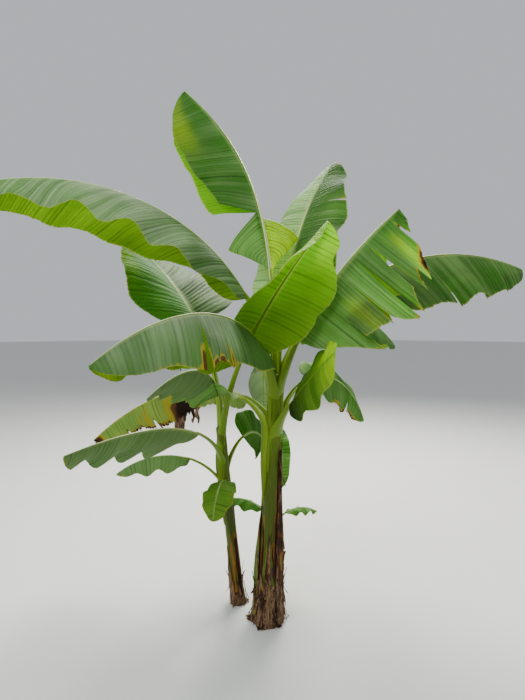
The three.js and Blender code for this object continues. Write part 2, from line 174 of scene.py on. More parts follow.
# Withered rags on the left margin of the yellowed leaf: (place along the blade, length, width).
RAGS = [
    (0.43, 110, 34), (0.46, 135, 42), (0.49, 95, 32), (0.36, 75, 26), (0.33, 90, 30), (0.95, 75, 24),
    (0.97, 125, 30), (0.985, 95, 22), (0.6, 22, 26), (0.72, 20, 30), (0.84, 24, 24),
]
RAGGED_LEAF = "old_yellow"
RAG_SEED = 7

# The photo's camera and the stage's lamps, in metres, degrees, mm of lens and watts.
CAMERA = dict(place=(-0.027, -2.31, 1.45), down=3.19, lens=24.94, sensor=36)
LAMPS = {
    "key": dict(
        place=(0.8, 3.2, 4.8), target=(0.0, 0.0, 1.5), size=2.6, power=700, tone=(1.0, 0.97, 0.9)
    ),
    "front": dict(
        place=(-2.2, -3.2, 4.2), target=(0.0, 0.0, 1.2), size=3.0, power=190, tone=(0.95, 0.98, 1.0)
    ),
}
SKY = (0.9, 0.95, 1.0, 1)
SKY_STRENGTH = 0.6
FLOOR_DROP = 0.001  # metres that the floor lies under the ground's plane

# Factors that darken or lighten a colour: red, green, blue and 1.
# FOLD_SHADE darkens the pleats' grooves as painted shade.
FOLD_SHADE = (0.3, 0.42, 0.3, 1)
VEIN_LIGHT = (1.35, 1.3, 1.25, 1)
STREAK_SHADE = (0.55, 0.6, 0.5, 1)
DULL_GLOW = (0.75, 0.8, 0.6, 1)
FLOOR_SHADE = (0.96, 0.96, 0.96, 1)

# What the values of a leaf say, in mm and degrees. A pair in square brackets is for its left
# and its right half.
# z, out, heading: it leaves its stem at height z, out from the axis, in this compass
#   direction, where 0 is +X and 90 is +Y.
# swing: how far its heading turns along its length.
# rise, dip, bend: its slope goes from rise to dip as (share of length) ** bend.
# stalk, blade, width: the lengths of stalk and blade, and how wide the blade is.
# root, bulk, tail: the stalk's radius, how much thicker its foot is, and how far it reaches
#   down into the stem.
# roll, twist: how far the blade turns round its midrib, up the stalk and along the blade.
# fold, sag: how far a half rises from the level at the midrib, and curves down to its edge.
# skew, tip: where the blade is widest, nearer the stalk below 1, and how full its tip is.
# bare, neck: share of the blade without any width, and share over which it then widens.
# share, lean, nick: a half's width is multiplied by share, its margin is swept towards the
#   tip by lean, and torn by nick.
# tears: (side, place along the blade, share kept at the midrib, opening, droop).
# first_droop, first_pull, first_fresh: the droop of the strip before the first tear, how far
#   it is pulled towards the stalk, and whether it is painted lime as if lit through, 1, or cool, -1.
# flutter: how far the torn strips tilt and cup.
# trim: (side, place, reach along, share of the width) of a bay in the margin.
# wave, waves, pleat: the height and the count of the margin's waves, and how high the pleats
#   along the veins are.
# look: which material it takes. young, mature, grey and old have colours of their own.
# tone, fade, strips: how much paler it is, partly its own green and partly painted light and
#   shade; paler towards the tip and darker towards the stalk, painted shade; and paler or
#   darker strip by strip at random, painted shade of torn strips that hang at different tilts.
# sheen, stripes, streaks: how waxy it is, with painted reflection of the sky,
#   how unevenly rib by rib, and how many ribs yellow.
# cool, pale_rib: 1 where the lower face is as dull as the upper, without its painted glow,
#   and where the midrib is pale.
# glow: (side, place, reach along, start across, strength) of a patch painted lime, as light
#   shining through.
# dry: (side, place, reach along, share of the half width, strength) of a withered margin.

# What a leaf has unless its own entry says otherwise.
PLAIN_LEAF = dict(
    bulk=0.2, tail=300, roll=0, twist=0, skew=0.8, tip=1.75, bare=0, neck=0, share=1, lean=0,
    nick=0.015, tears=[], first_droop=0, first_pull=0, first_fresh=0, flutter=8, trim=[],
    wave=12, waves=3, pleat=1, tone=0, fade=0, strips=0.2, sheen=0, stripes=0.35, streaks=0,
    cool=0, pale_rib=1, glow=[], dry=[],
)

# The values that a half has of its own, and those that are lists of spots on one side.
PAIRS = (
    "fold", "sag", "share", "first_droop", "first_pull", "first_fresh", "wave", "pleat", "tone",
    "sheen", "stripes", "cool",
)
SPOTS = ("tears", "trim", "glow", "dry")


def new_leaf(**own):
    """A leaf's values: the plain ones, and its own in their place."""
    return {**PLAIN_LEAF, **own}


LEAVES = {
    "top": new_leaf(
        stem="main", z=1180, out=6, heading=96, swing=85, rise=86, dip=39, bend=1.85,
        stalk=390, blade=1200, width=640, share=[0.93, 1.04], bare=0.08, neck=0.16, root=19,
        roll=4, twist=-4, fold=[-80, -70], sag=[12, 17], first_droop=[-6, -85],
        tears=[("L", 0.36, 0.1, 40, 0), ("R", 0.36, 0.1, 40, 0)],
        lean=20, tip=2.1, first_pull=[260, 265], first_fresh=[-1, 1],
        trim=[("L", 0.5, 0.28, 0.27), ("L", 0.12, 0.2, 0.2), ("R", 0.12, 0.2, 0.45)],
        look="mature", tone=0.15, sheen=[0, -0.3], pleat=1.2,
        glow=[("L", 0.84, 0.26, 0.58, 0.65)],
    ),
    "upper_right": new_leaf(
        stem="main", z=1180, out=26, heading=77, swing=-31, rise=75, dip=46, bend=1,
        stalk=350, blade=1050, width=500, root=18,
        roll=3, twist=2, fold=[7, 10], sag=[33, 31],
        tears=[("R", 0.62, 0.5, 14, 0)], flutter=20, trim=[("L", 0.74, 0.1, 0.16)], wave=[14, 34],
        look="grey", tone=[0.45, -0.25], sheen=[0.55, -0.3], stripes=0.45,
        dry=[("R", 0.98, 0.06, 0.4, 0.4)],
    ),
    "left_arch": new_leaf(
        stem="main", z=1165, out=24, heading=181, swing=34, rise=88, dip=-27, bend=1.02,
        stalk=420, blade=1380, width=540, root=22, wave=[25, 7], waves=5,
        roll=-2, twist=0, fold=[-27, -29], sag=[28, 30], lean=24,
        trim=[("R", 0.14, 0.22, 0.4), ("L", 0.06, 0.2, 0.35)],
        look="grey", tone=[0.12, -0.15], sheen=[0.25, 0], stripes=0.4, pleat=1.4, fade=0.6,
    ),
    "right_far": new_leaf(
        stem="main", z=1185, out=28, heading=17, swing=8, rise=85, dip=-15, bend=0.56,
        stalk=600, blade=1220, width=630, root=20,
        roll=8, twist=-7, fold=[-20, -49], sag=[40, 20],
        tears=[("R", 0.36, 0.5, 26, 0), ("R", 0.58, 0.1, 10, 4), ("R", 0.78, 0.5, 8, 6)],
        nick=0.02, wave=[10, 14], waves=4, flutter=32, pleat=1.3,
        look="mature", tone=-0.4, sheen=0.22, fade=0.25, stripes=0.5, strips=0.3,
    ),
    "front_left": new_leaf(
        stem="main", z=1130, out=32, heading=253, swing=-28, rise=66, dip=-38, bend=0.88,
        stalk=295, blade=930, width=530, skew=0.6, root=20,
        roll=-9, twist=0, fold=[-46, -35], sag=[22, 40],
        tears=[("L", 0.4, 0.1, 22, -3), ("L", 0.51, 0.1, 12, 3)], lean=16, tail=480, flutter=26,
        trim=[("R", 0.93, 0.14, -0.4)], share=[1, 0.9],
        look="grey", tone=-0.22, sheen=-0.1, stripes=0.2,
        dry=[("L", 0.52, 0.022, 0.5, 0.85), ("L", 0.39, 0.014, 0.4, 0.6), ("L", 0.6, 0.5, 0.03, 0.3),
             ("L", 0.46, 0.12, 0.09, 0.8)],
        glow=[("R", 0.92, 0.1, 0.4, 1)],
    ),
    "right_torn": new_leaf(
        stem="main", z=1135, out=28, heading=314, swing=51, rise=68, dip=40, bend=1.26,
        stalk=260, blade=730, width=740, root=20,
        roll=-12, twist=-20, fold=[-68, -32], sag=[5, 5],
        tears=[
            ("R", 0.3, 0.5, 12, 10), ("R", 0.48, 0.1, 14, 22), ("R", 0.61, 0.1, 30, 14),
            ("R", 0.72, 0.1, 34, 2), ("R", 0.79, 0.1, 30, 12), ("R", 0.92, 0.1, 40, 30),
            ("L", 0.4, 0.1, 40, 6), ("L", 0.7, 0.1, 40, -4),
        ],
        first_droop=[0, 14], lean=-14, tail=420, flutter=65,
        look="mature", tone=0.15, sheen=0.15, stripes=0.3, nick=0.03, strips=0.75,
        dry=[("R", 0.76, 0.03, 0.12, 0.8), ("R", 0.86, 0.06, 0.16, 1.0), ("R", 0.6, 0.03, 0.1, 0.7),
             ("L", 0.97, 0.06, 0.6, 0.7)],
        glow=[("R", 0.85, 0.06, 0.3, 0.5), ("R", 0.4, 0.09, 0.4, 0.45)],
    ),
    "back_left": new_leaf(
        stem="main", z=1110, out=30, heading=120, swing=12, rise=76, dip=-48, bend=0.72,
        stalk=290, blade=860, width=430, root=19,
        fold=[-28, -24], sag=[34, 34],
        tears=[("L", 0.55, 0.1, 30, 5)],
        look="mature", tone=-0.1,
    ),
    "back_right": new_leaf(
        stem="main", z=1130, out=30, heading=52, swing=-12, rise=76, dip=-40, bend=0.75,
        stalk=340, blade=960, width=450, root=19,
        fold=[-34, -28], sag=[34, 34],
        tears=[("R", 0.5, 0.1, 30, 5)],
        look="mature", tone=-0.2,
    ),
    "back": new_leaf(
        stem="main", z=1060, out=32, heading=99, swing=-12, rise=71, dip=-82, bend=0.82,
        stalk=280, blade=750, width=320, root=17,
        roll=5, twist=5, fold=[-25, -20], sag=[45, 40],
        look="grey", tone=-0.3, sheen=0.5, cool=1,
    ),
    "old_yellow": new_leaf(
        stem="main", z=950, out=30, heading=137, swing=41, rise=82, dip=-44, bend=0.4,
        stalk=190, blade=1060, width=380, root=30,
        roll=15, twist=-13, fold=[-75, -40], sag=[54, 30],
        tears=[("L", 0.62, 0.5, 24, 0), ("L", 0.8, 0.5, 24, 0)],
        look="old", tone=0.15, nick=0.15, streaks=0.38, bulk=0.3, tail=620,
        trim=[("L", 0.22, 0.26, 0.45), ("R", 0.2, 0.3, 0.4)],
        # The blackened bands at 0.41 are partly withered and partly painted shade.
        dry=[("L", 0.72, 0.36, 0.22, 0.95), ("L", 0.41, 0.12, 1.3, 1.2), ("R", 0.41, 0.12, 1.3, 1.2),
             ("R", 0.7, 0.4, 0.3, 0.8), ("L", 1.0, 0.07, 1.4, 1.1), ("R", 1.0, 0.07, 1.4, 1.1)],
    ),
    "low_right": new_leaf(
        stem="main", z=945, out=30, heading=297, swing=1, rise=63, dip=32, bend=0.35,
        stalk=195, blade=415, width=320, root=15,
        roll=-30, twist=-12, fold=[25, -16], sag=[17, 40],
        look="young", tone=[-0.2, -0.6], sheen=[-0.4, 0.1], pale_rib=0, stripes=[0.3, 0.8],
        fade=1.9, bulk=0.8, tail=420, glow=[("R", 0.95, 0.4, 0.1, 0.6), ("L", 0.9, 0.5, 0.1, 0.7)],
    ),
    "low_back_right": new_leaf(
        stem="main", z=920, out=30, heading=55, swing=-17, rise=79, dip=-68, bend=0.78,
        stalk=380, blade=650, width=310, root=15,
        roll=-27, twist=-21, fold=[8, -20], sag=[17, 38],
        tears=[("R", 0.6, 0.5, 24, 0)],
        look="mature", sheen=0.15, nick=0.05, dry=[("R", 0.65, 0.5, 0.14, 0.85)],
    ),
    "front_bright": new_leaf(
        stem="second", z=885, out=12, heading=287, swing=56, rise=72, dip=50, bend=0.35,
        stalk=530, blade=655, width=440, skew=0.92, root=15,
        roll=42, twist=-25, fold=[-16, -22], sag=[43, 42],
        trim=[("L", 0.82, 0.12, 0.22)], look="young", tone=0.18, sheen=-0.1, fade=1.3, nick=0.03,
        glow=[("R", 0.75, 0.4, 0.3, 0.35), ("L", 0.85, 0.25, 0.4, 0.5)],
    ),
    "left_back": new_leaf(
        stem="second", z=870, out=14, heading=116, swing=57, rise=96, dip=36, bend=0.6,
        stalk=620, blade=650, width=690, root=15,
        roll=7, twist=-33, fold=[10, 19], sag=[39, 13], share=[1, 1.12], lean=16,
        look="mature", tone=[0.25, -0.75], sheen=[-0.4, 0.3], stripes=[0.15, 0.9],
        pleat=[1.2, 3.2], glow=[("L", 0.5, 0.42, 0.75, 0.3)], cool=[0, 1],
    ),
    "left_small": new_leaf(
        stem="second", z=860, out=15, heading=274, swing=-40, rise=95, dip=-35, bend=0.86,
        stalk=235, blade=675, width=340, neck=0.12, root=13,
        roll=25, twist=20, fold=[-70, -75], sag=[50, 20], first_droop=[-100, 0],
        tears=[("L", 0.24, 0.1, 16, 0)], wave=[24, 12], waves=4,
        look="mature", tone=[-0.1, 0.1], sheen=[0.2, 0.3], stripes=0.5, cool=[0.9, 1],
    ),
    "low_left": new_leaf(
        stem="second", z=730, out=16, heading=252, swing=-20, rise=83, dip=-10, bend=0.4,
        stalk=330, blade=730, width=400, root=13,
        roll=22, twist=-10, fold=[-91, -40], sag=[57, 30],
        trim=[("L", 0.44, 0.07, 0.09), ("L", 0.68, 0.07, 0.09)], wave=[34, 16], waves=4,
        look="mature", tone=0.05, sheen=0.4, stripes=0.5, cool=0.6,
        dry=[("L", 1.0, 0.05, 0.6, 0.4)],
    ),
    "dark_right": new_leaf(
        stem="second", z=710, out=15, heading=52, swing=7, rise=66, dip=-80, bend=1.28,
        stalk=190, blade=285, width=280, root=11,
        roll=-35, twist=-21, fold=[21, -14], sag=[14, 44],
        look="mature", tone=-0.5,
    ),
    "lowest_left": new_leaf(
        stem="second", z=625, out=16, heading=198, swing=4, rise=60, dip=-36, bend=1,
        stalk=230, blade=375, width=160, root=11,
        roll=-2, twist=3, fold=[-38, -30], sag=[29, 30],
        look="mature", tone=-0.25, sheen=0.5, stripes=0.5, cool=0.7,
        dry=[("L", 0.95, 0.12, 0.3, 0.4), ("R", 0.95, 0.12, 0.3, 0.4)],
    ),
    "front_low": new_leaf(
        stem="second", z=640, out=14, heading=263, swing=-4, rise=42, dip=-73, bend=0.87,
        stalk=70, blade=260, width=170, root=9,
        roll=-3, twist=-4, fold=[-3, -6], sag=[24, 27],
        look="young", tone=-0.5, sheen=0.5, cool=1,
        dry=[("L", 0.55, 0.6, 0.1, 0.34), ("R", 0.55, 0.6, 0.12, 0.36), ("L", 0.97, 0.1, 0.5, 0.5)],
    ),
    "small_up": new_leaf(
        stem="small", z=410, out=4, heading=75, swing=10, rise=84, dip=35, bend=1.2,
        stalk=150, blade=360, width=140, root=9,
        fold=[20, 20], sag=[30, 30],
        look="mature", tone=0.1,
    ),
    "small_right": new_leaf(
        stem="small", z=380, out=8, heading=20, swing=-5, rise=68, dip=-35, bend=0.8,
        stalk=80, blade=190, width=90, root=8,
        fold=[-10, -10], sag=[35, 35],
        look="mature",
    ),
    "small_back": new_leaf(
        stem="small", z=365, out=8, heading=140, swing=10, rise=65, dip=-35, bend=0.8,
        stalk=110, blade=300, width=120, root=8,
        fold=[-15, -15], sag=[35, 35],
        look="mature", tone=-0.1,
    ),
}


# Numbers and arrays


def mix(a, b, f):
    """From a to b by the share f."""
    return a + (b - a) * f


def smooth(low, high, x):
    """0 below low, 1 above high, and the s-curve 3f^2 - 2f^3 between them."""
    f = np.clip((x - low) / (high - low), 0, 1)
    return f * f * (3 - 2 * f)


def bump(x, middle, reach):
    """1 at the middle, falling along an s-curve to 0 at reach on both sides."""
    return 1 - smooth(0, 1, np.abs(x - middle) / reach)


def wander(x, seed, step):
    """A smooth random height from -1 to 1: one at each step of x, joined by s-curves."""
    heights = np.random.default_rng(seed).uniform(-1, 1, RANDOM_ROW)
    at = np.asarray(x, float) / step
    low = np.floor(at).astype(int)
    return mix(heights[low % RANDOM_ROW], heights[(low + 1) % RANDOM_ROW], smooth(0, 1, at - low))


def rolling(x, y, seed, step_x, step_y):
    """A smooth random height from -1 to 1 over a plane: one at each crossing of a net of
    steps, joined by s-curves both ways."""
    heights = np.random.default_rng(seed).uniform(-1, 1, (RANDOM_NET, RANDOM_NET))
    x, y = np.broadcast_arrays(np.asarray(x, float) / step_x, np.asarray(y, float) / step_y)
    left = np.floor(x).astype(int)
    low = np.floor(y).astype(int)
    across = smooth(0, 1, x - left)

    def height(i, j):
        """The random heights at the crossings i, j of the net."""
        return heights[i % RANDOM_NET, j % RANDOM_NET]

    near = mix(height(left, low), height(left + 1, low), across)
    far = mix(height(left, low + 1), height(left + 1, low + 1), across)
    return mix(near, far, smooth(0, 1, y - low))


def wrinkled(x, y, seed, wrinkles):
    """The sum of some rolling heights, each with a height and steps of its own."""
    return sum(high * rolling(x, y, seed + k, *steps) for k, (high, *steps) in enumerate(wrinkles))


def unit(v):
    """Vectors of length 1 along v: each is divided by its own length."""
    return v / np.maximum(np.linalg.norm(v, axis=-1, keepdims=True), 1e-12)


def seed_of(name):
    """A seed from a name: the sum of its letters' codes, each times its place. Whatever draws
    random numbers from it adds a number of its own."""
    return sum((k + 1) * ord(c) for k, c in enumerate(name))


def sizes():
    """The sizes that a user can change."""
    return bpy.context.scene.banana_sizes


# Meshes


def cells_between(index):
    """The four-cornered cells between the neighbours of a grid of point numbers."""
    return np.stack((index[:-1, :-1], index[:-1, 1:], index[1:, 1:], index[1:, :-1]), -1)


def grid_cells(rows, columns, closed=False, count=1):
    """The cells of a grid of points, or of a count of such grids one after another. A closed
    grid joins its last column to its first."""
    index = np.arange(rows * columns).reshape(rows, columns)
    if closed:
        index = np.hstack([index, index[:, :1]])
    cells = cells_between(index).reshape(-1, 4)
    return (cells[None] + np.arange(count)[:, None, None] * rows * columns).reshape(-1, 4)


def cross_of_diagonals(points, cells):
    """The cross product of each cell's two diagonals."""
    a, b, c, d = (points[cells[:, k]] for k in range(4))
    return np.cross(c - a, d - b)


def point_normals(points, cells):
    """Each point's normal: the sum of the cross products of its cells' diagonals."""
    faces = cross_of_diagonals(points, cells)
    normals = np.zeros_like(points)
    for k in range(4):
        np.add.at(normals, cells[:, k], faces)
    return unit(normals)


def open_edges(cells):
    """The starts and ends of the cells' directed edges that no other cell runs back along."""
    start = cells.ravel()
    end = np.roll(cells, -1, axis=1).ravel()
    many = cells.max() + 1
    alone = ~np.isin(start * many + end, end * many + start)
    return start[alone], end[alone]


def make_piece(name, points, quads, triangles, uv, fields, material, sharp=()):
    """A mesh object at the origin from points in metres, faces, and one uv and one value of
    each field for every point. sharp holds a number for each edge that is a crease: its lower
    point's, times the count of points, plus its higher point's."""
    mesh = bpy.data.meshes.new(name)
    mesh.vertices.add(len(points))
    mesh.vertices.foreach_set("co", np.asarray(points, np.float32).ravel())
    corners = np.concatenate([quads.ravel(), triangles.ravel()]).astype(np.int32)
    quad_starts = np.arange(len(quads)) * 4
    triangle_starts = 4 * len(quads) + np.arange(len(triangles)) * 3
    mesh.loops.add(len(corners))
    mesh.loops.foreach_set("vertex_index", corners)
    mesh.polygons.add(len(quads) + len(triangles))
    starts = np.concatenate([quad_starts, triangle_starts]).astype(np.int32)
    mesh.polygons.foreach_set("loop_start", starts)
    mesh.update(calc_edges=True)
    mesh.shade_smooth()
    layer = mesh.uv_layers.new(name="Along")
    layer.uv.foreach_set("vector", uv[corners].astype(np.float32).ravel())
    for field, values in fields.items():
        attribute = mesh.attributes.new(field, "FLOAT", "POINT")
        attribute.data.foreach_set("value", np.asarray(values, np.float32).ravel())
    if len(sharp):
        ends = np.empty(2 * len(mesh.edges), np.int32)
        mesh.edges.foreach_get("vertices", ends)
        ends = np.sort(ends.reshape(-1, 2).astype(np.int64), axis=1)
        crease = mesh.attributes.new("sharp_edge", "BOOLEAN", "EDGE")
        crease.data.foreach_set("value", np.isin(ends[:, 0] * len(points) + ends[:, 1], sharp))
    mesh.materials.append(material)
    piece = bpy.data.objects.new(name, mesh)
    bpy.context.scene.collection.objects.link(piece)
    return piece


def thin_piece(name, sheet, thickness, material):
    """A closed shell round a sheet of points, cells, uv and fields: its points half a
    thickness up and down their normals, and a wall along each open edge. Its field "under" is
    1 on the lower side."""
    points, cells, uv, fields = sheet
    used, cells = np.unique(cells, return_inverse=True)
    cells = cells.reshape(-1, 4)
    n = len(used)
    points = points[used]
    lift = point_normals(points, cells) * thickness / 2
    start, end = open_edges(cells)
    walls = np.stack([end, start, start + n, end + n], -1)
    quads = np.vstack([cells, cells[:, ::-1] + n, walls])
    no_triangles = np.empty((0, 3), int)
    both = {key: np.tile(np.ravel(values)[used], 2) for key, values in fields.items()}
    both["under"] = np.repeat([0.0, 1.0], n)
    low = np.minimum(start, end).astype(np.int64)
    high = np.maximum(start, end).astype(np.int64)
    sharp = np.concatenate([low * 2 * n + high, (low + n) * 2 * n + high + n])
    shell = np.vstack([points + lift, points - lift])
    uv = np.tile(uv[used], (2, 1))
    return make_piece(name, shell, quads, no_triangles, uv, both, material, sharp)


def tube_piece(name, tube, material):
    """A closed tube through rings of points, given with their uv and fields. Its first and
    last ring are closed by a fan of triangles round their middle, and it is turned right side
    out by the sign of its volume."""
    rings, uv, fields = tube
    rows, around = rings.shape[:2]
    quads = grid_cells(rows, around, closed=True)
    points = rings.reshape(-1, 3)
    k = np.arange(around)
    last = (rows - 1) * around
    foot = np.stack([np.full(around, rows * around), np.roll(k, -1), k], -1)
    top = np.stack([np.full(around, rows * around + 1), k + last, np.roll(k, -1) + last], -1)
    triangles = np.vstack([foot, top])
    points = np.vstack([points, rings[0].mean(axis=0), rings[-1].mean(axis=0)])
    outward = points[quads[:, 0]] - points.mean(axis=0)
    if np.sum(cross_of_diagonals(points, quads) * outward) < 0:
        quads = quads[:, ::-1]
        triangles = triangles[:, ::-1]
    ends = [0, last]
    uv = np.vstack([uv.reshape(-1, 2), uv.reshape(-1, 2)[ends]])
    fields = {key: np.append(v.ravel(), v.ravel()[ends]) for key, v in fields.items()}
    return make_piece(name, points, quads, triangles, uv, fields, material)


def finish_piece(piece, slot, *nodes):
    """The piece rides on the plant and stands for the nodes, whose parts are hidden. slot is not
    used.
    """
    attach(piece, "root")
    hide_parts(*nodes)


# Stems and sheaths


def stem_axis(stem, z):
    """The stem's middle at heights z in mm: a straight line from its foot along its lean."""
    f = np.asarray(z, float) / stem["height"]
    x = stem["foot"][0] + stem["lean"][0] * f
    y = stem["foot"][1] + stem["lean"][1] * f
    return np.stack(np.broadcast_arrays(x, y, z), -1)


def stem_leaves(name):
    """The leaves of a stem from the lowest, whose sheath lies outermost, to the topmost."""
    own = [leaf for leaf in LEAVES.values() if leaf["stem"] == name]
    return sorted(own, key=lambda leaf: leaf["z"])


def angle_off(angle, heading):
    """How far an angle is from a heading, in degrees from -180 to 180."""
    return (angle - heading + 180) % 360 - 180


def round_mm(name, angle):
    """The way round a stem's foot in mm at an angle in degrees: the angle times the radius."""
    return angle * math.pi / 180 * STEMS[name]["foot_radius"]


def stem_radius(name, z, angle):
    """The stem's radius in mm: its top's, plus the rest times the share of height left
    squared, plus a flare that dies away upward, plus a bell-shaped ridge under each leaf."""
    stem = STEMS[name]
    left = 1 - np.clip(z / stem["height"], 0, 1)
    r = stem["top_radius"] + (stem["foot_radius"] - stem["top_radius"]) * left**2
    r = r + stem["flare"] * np.exp(-z / FLARE_HEIGHT)
    for leaf in stem_leaves(name):
        off = angle_off(angle, leaf["heading"]) / RIDGE["spread"]
        grown = smooth(leaf["z"] - RIDGE["start"], leaf["z"] - RIDGE["end"], z)
        r = r + RIDGE["height"] * stem["top_radius"] * np.exp(-(off**2)) * grown
    return r


def round_stem(name, z, angle, radius):
    """Points in metres at heights z, angles in degrees and radii in mm round a stem."""
    a = np.radians(angle)
    out = np.stack([np.cos(a), np.sin(a), np.zeros_like(a)], -1)
    return (stem_axis(STEMS[name], z) + out * np.asarray(radius)[..., None]) * MM


def sheath_cover(name, z, angle):
    """For each of a stem's leaves: 1 where its sheath wraps the stem and 0 beside it, and 1 up
    to the leaf's own height. The sheath reaches nearly round the stem low down and narrows to
    its stalk at the leaf."""
    covers = []
    for leaf in stem_leaves(name):
        narrowed = smooth(leaf["z"] - WRAP["start"], leaf["z"] - WRAP["end"], z) ** 0.8
        reach = mix(WRAP["low"], WRAP["high"], narrowed)
        reach = reach + WRAP["ragged"] * wander(z, seed_of(name) + leaf["z"], 90)
        inside = reach - np.abs(angle_off(angle, leaf["heading"]))
        cover = smooth(-WRAP["soft"], WRAP["soft"], inside)
        covers.append((cover, smooth(leaf["z"] + 40, leaf["z"] - 160, z)))
    return covers


def stem_brown(stem, z, angle, way, seed):
    """1 over a stem's old foot, whose top is ragged, and how far the whole stem has withered:
    the foot, faint patches higher up, and its own withered bands, each a bump round its
    heading."""
    ragged_top = stem["old"] * (1 + 0.35 * wander(way, seed + 4, 9))
    old = smooth(1.15, 0.5, z / ragged_top)
    brown = 1.1 * old + 0.12 * rolling(way, z, seed + 3, 12, 200)
    for heading, spread, high, strength in stem["patches"]:
        off = angle_off(angle, heading) + 7 * wander(z, seed + high, 70)
        tall = high * (1 + 0.25 * wander(way, seed + 5, 6))
        near = bump(off, 0, spread) ** 0.4 * smooth(tall, 0.7 * tall, z)
        brown = np.maximum(brown, strength * near)
    return old, brown


def stem_surface(name):
    """Rings of points up a stem. Its radius steps out where one more sheath wraps it, by the
    sheath's thickness times how far the count there is above the mean count of the ring.
    Wrinkles run up it, the withered foot is rough, and the top closes in."""
    stem = STEMS[name]
    seed = seed_of(name)
    shoulder = stem["height"] - STEM_CAP[0]
    z = np.append(np.arange(0, shoulder, STEM_ROW), stem["height"] - STEM_CAP)[:, None]
    angle = np.linspace(0, 360, STEM_ROUND, endpoint=False)[None, :]
    z, angle = np.broadcast_arrays(z, angle)
    sheaths = sheath_cover(name, z, angle)
    covers = [cover * below for cover, below in sheaths]
    layers = sum(covers)
    tone = np.zeros_like(z)
    margin = np.zeros_like(z)
    for k in reversed(range(len(covers))):
        tone = mix(tone, np.random.default_rng(seed + k).uniform(-1, 1), covers[k])
        cover, below = sheaths[k]
        margin = np.maximum(margin * (1 - covers[k]), 4 * cover * (1 - cover) * below)
    way = round_mm(name, angle)
    old, brown = stem_brown(stem, z, angle, way, seed)
    step = SHEATH_STEP * stem["top_radius"]
    radius = stem_radius(name, z, angle) + step * (layers - layers.mean(axis=1, keepdims=True))
    radius = radius + wrinkled(way, z, seed, STEM_WRINKLES)
    radius = radius + old * (2.2 * rolling(way, z, seed + 2, 9, 70) - 0.5)
    radius = radius * mix(1, CAP_SHARE, smooth(shoulder, stem["height"], z))
    # The stem's own tone darkens the second stem as painted shade.
    tone = 0.6 * tone - 0.5 + smooth(0.45, 0.85, z / stem["height"]) + stem["tone"]
    fields = {"tone": tone, "margin": margin, "dry": np.clip(brown, 0, 1)}
    return round_stem(name, z, angle, radius), np.stack([z, way], -1) * MM, fields


def sheath_surface(name, sheath):
    """A sheet round a stem between two heights: a radius of the stem's own, the sheath's
    stand-off times a belly sin^2 up its height, and wrinkles. Its sides draw in upward, and
    both they and its top are ragged."""
    seed = seed_of(name)
    stem = sheath["stem"]
    rows = int((sheath["end"] - sheath["start"]) / SHEATH_ROW)
    f = np.linspace(0, 1, rows)[:, None]
    share = np.linspace(-1, 1, SHEATH_ACROSS)[None, :]
    ragged = wander(share * 40, seed, 3) * 0.5 + wander(share * 40, seed + 1, 9)
    z = mix(sheath["start"], sheath["end"], f * (1 - 0.35 * sheath["rag"] * (ragged + 1) * f))
    side = np.where(share < 0, wander(z, seed + 2, 28), wander(z, seed + 3, 28))
    width = mix(1, 0.35, f * f) * (1 + 0.6 * sheath["rag"] * side * np.abs(share) ** 3)
    angle = sheath["heading"] + share * sheath["spread"] * width
    way = round_mm(stem, angle)
    belly = np.sin(np.pi * np.minimum(1, f * 1.15)) ** 2 * (1 - share**2 * 0.6)
    stand = 3 + sheath["stand"] * belly + 0.3 * sheath["thick"] * mix(1, 0.6, f)
    stand = stand + wrinkled(way, z, seed + 4, SHEATH_WRINKLES)
    radius = stem_radius(stem, z, angle) + np.maximum(stand, 1.5)
    patchy = 0.35 * mix(0.4, 1, smooth(120, 340, z)) * rolling(way, z, seed + 6, 18, 260)
    dry = sheath["dead"] + patchy + 0.4 * smooth(260, 20, z) + 0.25 * np.abs(share) ** 8
    core = sheath["core"]
    if core < 1:
        dry = dry - 0.7 * smooth(core, core + 0.2, np.abs(share)) * smooth(120, 240, z)
    points = round_stem(stem, z, angle, radius)
    uv = np.stack(np.broadcast_arrays(z * MM, way * MM), -1)
    cells = grid_cells(rows, SHEATH_ACROSS)
    return points.reshape(-1, 3), cells, uv.reshape(-1, 2), {"dry": np.clip(dry, 0, 1).ravel()}


def strip_surfaces(stem, seed, foot, length, width, heading=(0, 360), count=None):
    """Strips of torn sheath that stand on a stem and curl away from it: each is a narrow
    sheet whose distance from the stem grows with the square of the way to its free end. About
    a third of them stand up, and the others hang."""
    count = count or sizes().fibre_count
    random = np.random.default_rng(seed)
    rows, columns = STRIP_GRID
    f = np.linspace(0, 1, rows)[None, :, None]
    share = np.linspace(-1, 1, columns)[None, None, :]

    def each(least, most):
        """A random number for each strip."""
        return random.uniform(least, most, (count, 1, 1))

    start = each(*heading)
    low = each(*foot)
    span = each(*length)
    hang = np.where(random.random((count, 1, 1)) < STANDING, 1.0, -1.0)
    z = np.maximum(low + hang * span * f * (1 - 0.12 * f), GROUND_GAP)
    wide = each(*width) * (1 - 0.75 * f**2) * (1 + 0.2 * np.sin(f * 19 + start))
    curl = each(*STRIP_CURL) * f**2 + 2.5 * np.sin(f * each(*STRIP_RIPPLE) + start) * f
    around = stem_radius(stem, z, start)
    angle = start + np.degrees((share * wide / 2 + each(*STRIP_SWING) * f**2) / around)
    radius = around + 5 + curl + 1.5 * share**2
    points = round_stem(stem, *np.broadcast_arrays(z, angle, radius))
    z, dry = np.broadcast_arrays(z, each(*STRIP_DRY) + 0 * share)
    uv = np.stack([z, round_mm(stem, angle)], -1) * MM
    cells = grid_cells(rows, columns, count=count)
    return points.reshape(-1, 3), cells, uv.reshape(-1, 2), {"dry": dry.ravel()}


# Leaves


